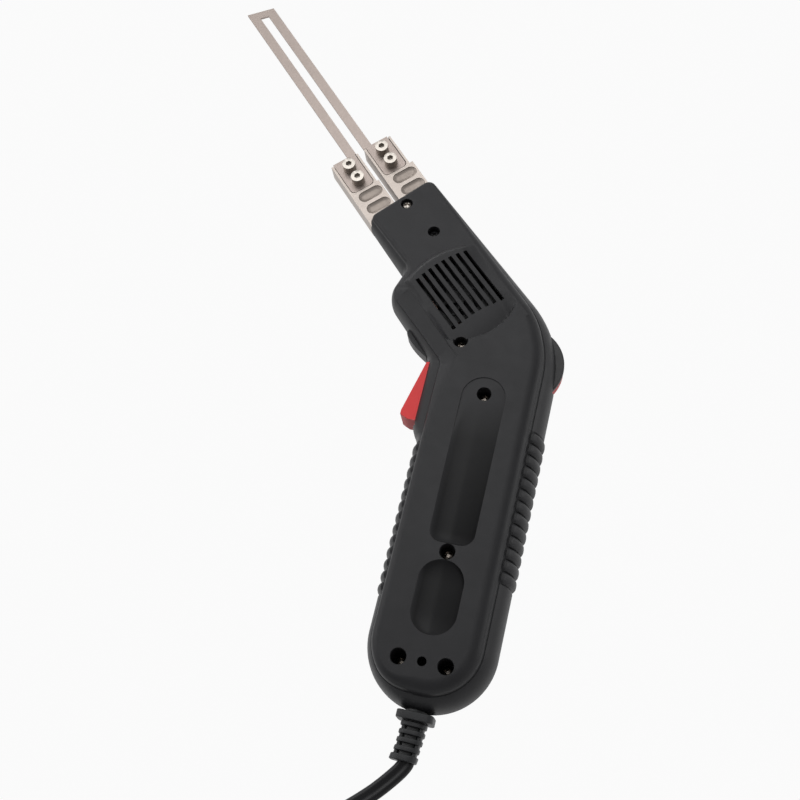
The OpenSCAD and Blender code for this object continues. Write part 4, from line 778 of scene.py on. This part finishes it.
def shared_cutters():
    """Openings that both halves share: trigger, dial, lock button, clamp blocks with their shanks, and cord."""
    dial = [(DIAL_SLOT_R, MID - DIAL_SLOT_HALF), (DIAL_SLOT_R, MID + DIAL_SLOT_HALF)]
    lock_low = (-BULGE - 2.9, LOCK_AT - LOCK_SLOT_HALF, -4.9)
    lock_high = (-BULGE + 2.8, LOCK_AT + LOCK_SLOT_HALF, 4.9)
    cutters = [
        block("trigger_slot", (-TRIGGER_WALL - 6.4, 36.1, MID - 7.4), (-TRIGGER_WALL + 4.8, 71.1, MID + 7.4)),
        lathe("dial_slot", DIAL_AT, dial, 96),
        block("lock_slot", lock_low, lock_high, head_solid),
        block("shank_slot", (-15.4, NOSE - 4.8, -5.3), (-4.8, NOSE + 6, 5.3), head_solid),
        block("shank_slot", (9.8, NOSE - 4.8, -5.3), (16.8, NOSE + 6, 5.3), head_solid),
        block("block_seat", (-19.6, NOSE - 3.4, -5.25), (20.8, NOSE + 7, 5.25), head_solid)]
    neck = [[(x, y, z + MID) for x, z in circle(0, 0, 5.3)] for y in (SEAT_Y + 5.4, SEAT_Y - 4)]
    cutters.append(lofted("neck_hole", neck))
    return cutters


def shell(name, side):
    """One half of the housing: the left where side is 1, the right where it is -1."""
    obj = skin(name, RIBBED, RIBBED_MARKS, LEVELS)
    hollow = skin("hollow", PLAIN, PLAIN_MARKS, HOLLOW, WALL)
    if side < 0:
        for o in (obj, hollow):
            o.data.transform(Matrix.Translation((0, 0, 2 * MID * MM)) @ Matrix.Scale(-1, 4, (0, 0, 1)))
            o.data.flip_normals()
    boolean(obj, [hollow], "DIFFERENCE")
    fillers = [field("dome_fill", side, lambda u, v: min(dome(u, v), panel(u, v)) - 2.4, fill_top, dome_limits)]
    fillers += boss_solids(side)
    if side > 0:
        fillers += [scoop("floor", *SHORT_SCOOP, 1.9, ROOF - 1.2), scoop("floor", *LONG_SCOOP, 1.9, ROOF - 1.25)]
    boolean(obj, fillers, "UNION")
    cutters = [field("dome_cut", side, cut_low, lambda u, v: panel(u, v) + 5, wide_limits)]
    cutters += slot_cutters(side) + well_cutters(side) + shared_cutters()
    if side > 0:
        cutters += [scoop("scoop", *LONG_SCOOP, 0.0, ROOF + 3, 0.45), scoop("scoop", *SHORT_SCOOP, 0.0, ROOF + 3)]
        small = [(2.0, MID + ROOF - 3), (2.1, MID + ROOF - 0.2), (2.4, MID + ROOF + 2)]
        cutters.append(lathe("small_well", (-0.8, -75), small))
    boolean(obj, cutters, "DIFFERENCE")
    sharpen(obj)
    return obj


# The cord: one twin lead from the boot to the coil, along the source's route
ROUTE = [(0, 5, 1), (0, 1, 1), (0, -0.5, 1), (-2, -4, 0.97), (-6, -9, 0.9), (-10.6, -14, 0.8), (-15.6, -18.6, 0.67),
         (-21.6, -23.6, 0.5), (-28, -28.6, 0.3), (-35, -34.2, 0.17), (-38, -37, 0.155)]
BOOT_END = SEAT_Y - 20.5
CORD_R, LOBE_X, LOBE_STEPS, LOBE_OPEN = 1.85, 1.78, 18, 128
COIL = Vector((-20, BOOT_END - 88))
COIL_R, COIL_PITCH, COIL_RISE, COIL_FIRST, COIL_TURNS = 51.6, 8.0, 4.3, 125.0, 6.08
COIL_Z, COIL_STEPS = 0.9 + CORD_R, 300
LAYER_TURNS, CLIMB_TURNS = 3, 0.5
LEAD_IN, TAIL, TAIL_STEPS = 7.4, 42, 6


def coil_radius(t):
    """The coil winds inwards in its lower layer and outwards again in its upper one."""
    t = min(t, 2 * LAYER_TURNS + CLIMB_TURNS - t)
    return COIL_R - COIL_PITCH * (math.floor(t) + max(0, 2 * (t - math.floor(t)) - 1))


def coil_point(t):
    a = math.radians(COIL_FIRST + 360 * t)
    z = COIL_Z + COIL_RISE * min(1, max(0, (t - LAYER_TURNS) / CLIMB_TURNS))
    return Vector((COIL.x + coil_radius(t) * math.cos(a), COIL.y + coil_radius(t) * math.sin(a), z))


def coil_way(t):
    a = math.radians(COIL_FIRST + 360 * t)
    return Vector((-math.sin(a), math.cos(a), 0))


def spline(points, per=8):
    """Points along a smooth curve through the given ones."""
    out = []
    for i in range(len(points) - 1):
        p0, p1, p2, p3 = points[max(0, i - 1)], points[i], points[i + 1], points[min(len(points) - 1, i + 2)]
        for k in range(per):
            t = k / per
            out.append(0.5 * ((2 * p1) + (p2 - p0) * t + (2 * p0 - 5 * p1 + 4 * p2 - p3) * t * t
                              + (3 * p1 - p0 - 3 * p2 + p3) * t ** 3))
    out.append(points[-1])
    return out


route = [Vector((x, BOOT_END + y, MID * z)) for x, y, z in ROUTE]
route.append(coil_point(0) - coil_way(0) * LEAD_IN)
loops = [coil_point(COIL_TURNS * k / COIL_STEPS) for k in range(COIL_STEPS + 1)]
tail_end = loops[-1] + coil_way(COIL_TURNS) * TAIL
tail = [loops[-1] + (tail_end - loops[-1]) * k / TAIL_STEPS for k in range(1, TAIL_STEPS + 1)]
path = spline(route + loops[:1])[:-1] + loops + tail
CORD_SECTION = []
for side, turn in ((1, 0), (-1, 180)):
    for k in range(LOBE_STEPS + 1):
        t = math.radians(turn - LOBE_OPEN + 2 * LOBE_OPEN * k / LOBE_STEPS)
        CORD_SECTION.append((side * LOBE_X + CORD_R * math.cos(t), CORD_R * math.sin(t)))


def cord_mesh(name, points):
    rings = []
    for i, p in enumerate(points):
        way = (points[min(i + 1, len(points) - 1)] - points[max(i - 1, 0)]).normalized()
        lift = (Vector((0, 0, 1)) - way * way.z).normalized()
        out = way.cross(lift)
        rings.append([tuple(p + out * a + lift * b) for a, b in CORD_SECTION])
    return lofted(name, rings)


cord = cord_mesh("cord_lead", path)
paint(cord, cord_skin)
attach(cord, "housing")
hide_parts("cord_run", "cord_coil")


# Plug on the cord's far end: sections as distance, width, height and squareness
PLUG_ANGLE = math.radians(COIL_FIRST + 360 * COIL_TURNS)
NECK_END, NECK_Z, GRIP_Z = 10, 7.0, 6.8
PLUG_SECTIONS = [
    (0.0, 7.8, 5.4, 0.8), (0.4, 9.2, 6.6, 0.8), (2.2, 9.6, 7.0, 0.8), (2.5, 8.2, 5.8, 0.8), (3.6, 8.2, 5.8, 0.8),
    (3.9, 10.0, 7.4, 0.8), (5.8, 10.2, 7.8, 0.8), (6.1, 8.8, 6.6, 0.8), (7.2, 8.8, 6.8, 0.8), (7.5, 10.8, 8.2, 0.8),
    (9.6, 11.4, 9.0, 0.75), (11.0, 15.5, 11.0, 0.7), (13.0, 20.5, 12.6, 0.62), (16.0, 24.4, 13.2, 0.56),
    (20.0, 25.8, 13.4, 0.5), (25.0, 24.6, 13.2, 0.5), (30.0, 23.8, 13.0, 0.5), (35.0, 24.4, 13.2, 0.5),
    (40.0, 25.6, 13.4, 0.46), (44.6, 25.8, 13.4, 0.44), (45.6, 25.2, 12.8, 0.44), (46.0, 23.8, 11.4, 0.44)]


def plug_place(x, y, z):
    c, s = math.cos(PLUG_ANGLE), math.sin(PLUG_ANGLE)
    return (tail_end.x + x * c - y * s, tail_end.y + x * s + y * c, z)


def oval(w, h, power, n=48):
    """A rounded rectangle; a small power makes it square."""
    ring = []
    for k in range(n):
        t = math.tau * k / n
        c, s = math.cos(t), math.sin(t)
        ring.append((w / 2 * math.copysign(abs(c) ** power, c), h / 2 * math.copysign(abs(s) ** power, s)))
    return ring


plug_rings = []
for y, w, h, power in PLUG_SECTIONS:
    middle = NECK_Z if y < NECK_END else GRIP_Z
    plug_rings.append([plug_place(a, y, middle + b) for a, b in oval(w, h, power)])
plug = lofted("plug_grip", plug_rings)
sharpen(plug, 40)
paint(plug, rubber)
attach(plug, "housing")
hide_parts("plug_body")

# Tie round the coil: a soft band with rounded corners
TIE_AT, TIE_CLEAR, TIE_STEPS, TIE_SQUARE, BAND_HALF = 305, 4.4, 64, 0.3, 0.35
TIE_ANGLE = math.radians(TIE_AT)
crossings = [k + (TIE_AT - COIL_FIRST) / 360 for k in range(7)]
radii = [coil_radius(t) for t in crossings if t < COIL_TURNS]
tie_low, tie_high = min(radii) - TIE_CLEAR, max(radii) + TIE_CLEAR
tie_top = COIL_Z + COIL_RISE + CORD_R + 0.2


def tie_place(x, y, z):
    c, s = math.cos(TIE_ANGLE), math.sin(TIE_ANGLE)
    return (COIL.x + x * c - y * s, COIL.y + x * s + y * c, z)


half_w, half_h = (tie_high - tie_low) / 2 + BAND_HALF, (tie_top + 2 * BAND_HALF) / 2 - BAND_HALF
loop_ring = [((tie_low + tie_high) / 2 + x, half_h + BAND_HALF + z)
             for x, z in oval(2 * half_w, 2 * half_h, TIE_SQUARE, TIE_STEPS)]
BAND_SECTION = [(-4.4, 0), (-4.1, 0.3), (-3.2, 0.34), (-1.4, 0.22), (0, 0.34), (1.4, 0.22), (3.2, 0.34), (4.1, 0.3),
                (4.4, 0), (4.1, -0.3), (0, -0.33), (-4.1, -0.3)]
tie_rings = []
for k, (x, z) in enumerate(loop_ring):
    a, b = loop_ring[k - 1], loop_ring[(k + 1) % TIE_STEPS]
    way = Vector((b[0] - a[0], b[1] - a[1])).normalized()
    tie_rings.append([tie_place(x + way.y * d, w, z - way.x * d) for w, d in BAND_SECTION])
tie = lofted("coil_tie", tie_rings + tie_rings[:1], closed_ends=False)
paint(tie, black_plastic)
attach(tie, "housing")
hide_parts("cord_tie")


# Strain relief: flange, collars and the side webs between them, bent a little towards the cord
BOOT_STEPS, COLLARS, FIRST_COLLAR, WEB_STEPS = 56, 5, 3.05, 12
COLLAR_PITCH = 17.7 / COLLARS


def boot_place(x, along, z):
    share = max(0.0, along - 2.5) / 18.0
    return (x - 1.6 * share * share, SEAT_Y - 0.3 - along, MID + z)


def boot_ring(along, w, h, power):
    return [boot_place(a, along, b) for a, b in oval(w, h, power, BOOT_STEPS)]


def collar(low, high, w, h, edge, power=0.62):
    """Rings of a collar with rolled edges."""
    cuts = ((low, edge), (low + edge * 0.4, 0.1), (low + edge, 0.0),
            (high - edge, 0.0), (high - edge * 0.4, 0.1), (high, edge))
    return [boot_ring(along, w - 2 * cut, h - 2 * cut, power) for along, cut in cuts]


def waist(low, high, w, h):
    return [boot_ring(along, w, h, 0.8) for along in (low, high)]


boot_rings = collar(-0.9, 2.7, 16.8, 15.2, 0.5, 0.3) + waist(2.75, 3.0, 10.8, 9.0)
for k in range(COLLARS):
    start = FIRST_COLLAR + k * COLLAR_PITCH
    last = k == COLLARS - 1
    wide = 12.2 if last else 11.8 - 0.15 * k
    boot_rings += collar(start, start + COLLAR_PITCH * 0.6 + (0.6 if last else 0), wide, wide * 0.86, 0.4)
    if not last:
        boot_rings += waist(start + COLLAR_PITCH * 0.62, start + COLLAR_PITCH * 0.98, 7.6, 6.4)
boot = lofted("boot_ribbed", boot_rings)
webs = []
for side in (-1, 1):
    web = []
    for k in range(WEB_STEPS + 1):
        along = 2.2 + 17.0 * k / WEB_STEPS
        web.append([boot_place(side * 4.0 + a, along, b) for a, b in oval(2.2, 6.6, 0.6, 20)])
    webs.append(lofted("web", web))
boolean(boot, webs, "UNION")
neck = [[(x, y, z + MID) for x, z in circle(0, 0, r)] for r, y in (
    (5.0, SEAT_Y - 0.6), (5.0, SEAT_Y + 4.0), (7.0, SEAT_Y + 4.02), (7.0, SEAT_Y + 5.9))]
boolean(boot, [lofted("neck", neck)], "UNION")
sharpen(boot, 38)
paint(boot, rubber)
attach(boot, "housing")
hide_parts("strain_relief")


# Shells
def on_scoop_floor(face):
    x, y, z = (v / MM for v in face.center)
    between_ends = any(low - 0.2 < y < high + 0.2 for low, high, *_ in (LONG_SCOOP, SHORT_SCOOP))
    facing_up = MID + 9 < z < MID + ROOF - 0.01 and abs(face.normal.z) > 0.4
    return between_ends and facing_up and abs(x - SCOOP_OFF) < SCOOP_R + 0.1


left = shell("shell_left", 1)
right_half = shell("shell_right", -1)
for obj, node in ((left, "left_shell"), (right_half, "right_shell")):
    paint(obj, charcoal)
    if obj is left:
        # Faces of the scoop floors take the material with painted shade
        obj.data.materials.append(scoop_plastic_painted_shade.mat)
        for face in obj.data.polygons:
            if on_scoop_floor(face):
                face.material_index = 1
    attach(obj, "housing")
    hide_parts(node)

# Lock button: a flat wedge that falls towards the trigger, as share of its length and height
LOCK_WEDGE = [(0.0, 0.8), (0.03, 1.3), (0.1, 1.75), (0.22, 2.0), (0.36, 2.05), (0.5, 1.9), (0.66, 1.5), (0.82, 0.95),
              (0.95, 0.4), (1.0, 0.1)]
lock_rings = []
for z, cut in ((-4.5, 0.6), (-4.35, 0.2), (-3.9, 0.0), (3.9, 0.0), (4.35, 0.2), (4.5, 0.6)):
    ring = [(-BULGE - h + cut, LOCK_AT + LOCK_HALF * (1 - 2 * t)) for t, h in LOCK_WEDGE]
    ring += [(-BULGE + 4.5, LOCK_AT - LOCK_HALF), (-BULGE + 4.5, LOCK_AT + LOCK_HALF)]
    lock_rings.append([head_solid((u, v, z)) for u, v in ring])
cap = lofted("lock_cap", lock_rings)
sharpen(cap, 40)
paint(cap, charcoal)
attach(cap, "lock")
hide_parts("lock_button")

# Feet of the clamp blocks inside the nose, and the dished floors of their pockets
BLOCKS = ((-18.4, -17.3, -0.8), (2.1, 4.0, 20.5))
POCKET_STEPS, POCKET_HALF, POCKET_R = 40, 3.62, 3.25
POCKET_AT, POCKET_PITCH, POCKET_OFF = NOSE + 14.1, 8.8, 0.3
# Inset from the pocket's wall, and height over the parting plane
POCKET_LEVELS = ((0.0, 1.7), (0.0, 4.62), (0.1, 4.7), (0.45, 4.5), (0.9, 4.24), (1.4, 4.04), (1.9, 3.92), (2.4, 3.87))
pocket = []
for i in range(POCKET_STEPS):
    t = math.tau * i / POCKET_STEPS
    pocket.append((math.copysign(POCKET_HALF, math.cos(t)) + POCKET_R * math.cos(t), POCKET_R * math.sin(t)))
for k, (side_x, low, high) in enumerate(BLOCKS):
    foot_low, foot_high = (side_x + 0.02, NOSE - 4.0, -4.97), (high - 0.02, NOSE + 2.0, 4.97)
    foot = block("block_foot_%d" % (k + 1), foot_low, foot_high, head_solid)
    paint(foot, plated)
    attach(foot, "housing")
    for j in range(2):
        off, along = (low + high) / 2 + POCKET_OFF, POCKET_AT - POCKET_PITCH * j
        floor_rings = []
        for c, z in POCKET_LEVELS:
            floor_rings.append([head_solid((off + x * (1 - c / 7), along + y * (1 - c / 3.3), z)) for x, y in pocket])
        cast = lofted("pocket_floor_%d" % (2 * k + j + 1), floor_rings)
        sharpen(cast, 40)
        paint(cast, cast_metal)
        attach(cast, "housing")


# Return springs: a coil at the trigger and one at the lock, each wound at its full length
def wound(name, base, way, length, r, wire, turns):
    """A coil spring from its base along a way, with flat ends."""
    across, up_z, around = Vector((-way.y, way.x, 0)), Vector((0, 0, 1)), 20
    section = [math.tau * j / 8 for j in range(8)]
    rings = []
    for k in range(turns * around + 1):
        a = math.tau * k / around
        radial = across * math.cos(a) + up_z * math.sin(a)
        risen = min(1, max(0, (k / (turns * around) - 0.08) / 0.84))
        centre = base + way * (wire / 2 + (length - wire) * risen) + radial * r
        rings.append([centre + (way * math.cos(b) + radial * math.sin(b)) * wire / 2 for b in section])
    return lofted(name, rings)


ALONG_X, ACROSS_HEAD = Vector((1, 0, 0)), Vector((math.cos(HEAD_ANGLE), math.sin(HEAD_ANGLE), 0))
TRIGGER_SEAT, LOCK_SEAT = Vector((-32.7, 46, MID)), Vector(head_solid((-27.7, LOCK_AT, 0)))
# Piece, node, joint, base, way, length, radius, wire, turns and the share of the length kept when pressed
SPRINGS = (
    ("trigger_coil", "trigger_spring", "trigger_press", TRIGGER_SEAT, ALONG_X, 12.9, 2.95, 0.7, 6, 0.69),
    ("lock_coil", "lock_spring", "lock_press", LOCK_SEAT, ACROSS_HEAD, 7.4, 2.35, 0.6, 5, 0.65))
for name, node, joint, base, way, length, r, wire, turns, keep in SPRINGS:
    spring = wound(name, base, way, length, r, wire, turns)
    paint(spring, steel)
    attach(spring, "housing")
    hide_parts(node)
    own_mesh(spring)

# Housing screws: domed heads with a cross recess; as painted shade of their wells, the inner one of the nose is black
# and those down the deep wells are darker steel
SHADED_SCREW = 6
# The head's profile, as share of its radius and height over its seat, and the recess as height, length and width
SCREW_DOME = ((0.97, 0.02), (1.0, 0.2), (1.0, 0.8), (0.93, 1.25), (0.76, 1.62), (0.5, 1.88), (0.22, 1.98))
RECESS = ((0.75, 0.28, 0.12), (1.5, 0.5, 0.19), (2.6, 0.74, 0.27))
for k, (x, y, deep) in enumerate(WELLS):
    seat = roof(Vector((x, y))) - deep - SCREW_HEAD_H + MID
    r = 2.6 if k >= FIRST_IN_NOSE else 2.9
    profile = [(0.5, MID - 5.5), (1.4, MID - 4.6), (1.4, seat)]
    profile += [(r * share, seat + h) for share, h in SCREW_DOME] + [(0.05, seat + 2.0)]
    screw = lathe("housing_screw_%d" % (k + 1), (x, y), profile, 40)
    turn = math.radians(17 + 53 * k)
    arms = []
    for quarter in (0, 1):
        a = turn + quarter * math.pi / 2
        c, s = math.cos(a), math.sin(a)
        arm_rings = []
        for h, long, wide in RECESS:
            corners = ((-long, -wide), (long, -wide), (long, wide), (-long, wide))
            arm_rings.append([(x + r * (p * c - q * s), y + r * (p * s + q * c), seat + h) for p, q in corners])
        arms.append(lofted("arm", arm_rings))
    boolean(screw, arms, "DIFFERENCE")
    sharpen(screw, 35)
    # The inner nose screw is painted black and the deep-well screws darker steel: painted shade of their wells
    paint(screw, black_plastic if k == SHADED_SCREW else well_shade_steel if k < FIRST_IN_NOSE else steel)
    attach(screw, "housing")
    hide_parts("shell_screws")

# CAD nodes: the slot's material, and soft edges where the shape is kept and seen
EDGES = {
    "blade": 0.1, "front_electrode": 0.22, "rear_electrode": 0.22, "blade_screws": 0.22, "spring_washers": 0.1,
    "trigger": 0.8, "dial_wheel": 0.7, "dial_band": 0.3, "label_plate": 0.12, "plug_pins": 0.5}
for sub in frame["record"]["subparts"]:
    obj = nodes[sub["node"]]
    paint(obj, BY_SLOT[sub["material_slot"]])
    if sub["node"] in EDGES:
        weld = obj.modifiers.new("weld", "WELD")
        weld.merge_threshold = 2e-6
        bevel = obj.modifiers.new("edges", "BEVEL")
        bevel.width = EDGES[sub["node"]] * MM
        bevel.segments = 3
        bevel.limit_method = "ANGLE"
        bevel.angle_limit = math.radians(35)
        bevel.use_clamp_overlap = True
        normals = obj.modifiers.new("normals", "WEIGHTED_NORMAL")
        normals.keep_sharp = False

# Floor and backdrop: a round sweep just under the object
SWEEP_STEPS, FLOOR_R, COVE_R, SWEEP_TOP, FLOOR_Z = 96, 4.6, 1.4, 3.2, -0.00005
cove = [(FLOOR_R + COVE_R * math.sin(math.radians(a)), COVE_R - COVE_R * math.cos(math.radians(a)))
        for a in range(10, 91, 10)]
sweep = [(FLOOR_R, 0.0)] + cove + [(FLOOR_R + COVE_R, SWEEP_TOP)]
sweep_points = [(x, y, z) for r, z in sweep for x, y in circle(0, 0, r, SWEEP_STEPS)]
sweep_faces = [tuple(range(SWEEP_STEPS))] + tube_faces(len(sweep), SWEEP_STEPS)
floor_mesh = bpy.data.meshes.new("floor")
floor_mesh.from_pydata(sweep_points, [], sweep_faces)
floor_mesh.shade_smooth()
floor = bpy.data.objects.new("floor", floor_mesh)
floor.location.z = FLOOR_Z
scene.collection.objects.link(floor)


def seen_rays(tree):
    """1 for rays that show the floor: straight, mirrored or through glass."""
    path_node = tree.nodes.new("ShaderNodeLightPath")
    total = path_node.outputs["Is Camera Ray"]
    for key in ("Is Glossy Ray", "Is Transmission Ray"):
        node = tree.nodes.new("ShaderNodeMath")
        node.operation = "MAXIMUM"
        tree.links.new(total, node.inputs[0])
        tree.links.new(path_node.outputs[key], node.inputs[1])
        total = node.outputs[0]
    return total


def white_sweep(glow_share=0.96):
    """White where it is seen, and a plain diffuse floor for light and shadow."""
    mat = bpy.data.materials.new("white_sweep")
    mat.use_nodes = True
    tree = mat.node_tree
    tree.nodes.clear()
    out = tree.nodes.new("ShaderNodeOutputMaterial")
    diffuse = tree.nodes.new("ShaderNodeBsdfDiffuse")
    diffuse.inputs["Color"].default_value = (0.9, 0.9, 0.9, 1)
    glow = tree.nodes.new("ShaderNodeEmission")
    glow.inputs["Color"].default_value = (1, 1, 1, 1)
    mixer = tree.nodes.new("ShaderNodeMixShader")
    share = tree.nodes.new("ShaderNodeMath")
    share.operation = "MULTIPLY"
    share.inputs[1].default_value = glow_share
    tree.links.new(seen_rays(tree), share.inputs[0])
    tree.links.new(share.outputs[0], mixer.inputs[0])
    tree.links.new(diffuse.outputs[0], mixer.inputs[1])
    tree.links.new(glow.outputs[0], mixer.inputs[2])
    tree.links.new(mixer.outputs[0], out.inputs["Surface"])
    return mat


floor_mesh.materials.append(white_sweep())

# Light
world = bpy.data.worlds.new("studio")
world.use_nodes = True
scene.world = world
background = world.node_tree.nodes["Background"]
background.inputs["Color"].default_value = (1, 1, 1, 1)
background.inputs["Strength"].default_value = 0.34


def lamp(name, place, target, size, watts):
    """A rectangular lamp at a place in metres, turned to a target."""
    data = bpy.data.lights.new(name, "AREA")
    data.shape = "RECTANGLE"
    data.size, data.size_y = size
    data.energy = watts
    obj = bpy.data.objects.new(name, data)
    obj.location = place
    obj.rotation_euler = (Vector(place) - Vector(target)).to_track_quat("Z", "Y").to_euler()
    scene.collection.objects.link(obj)


lamp("overhead", (-0.3, 0.66, 1.25), (0, 0.05, 0), (1.1, 1.1), 8.3)
lamp("low_right", (1.2, 0.5, 0.42), (0, 0, 0), (0.6, 0.6), 3.5)
lamp("left", (-1.1, 0.1, 0.75), (0, 0, 0), (0.7, 1.0), 4.5)
lamp("back_left", (-0.85, 1.15, 0.3), (0, 0.1, 0), (0.8, 0.4), 3)
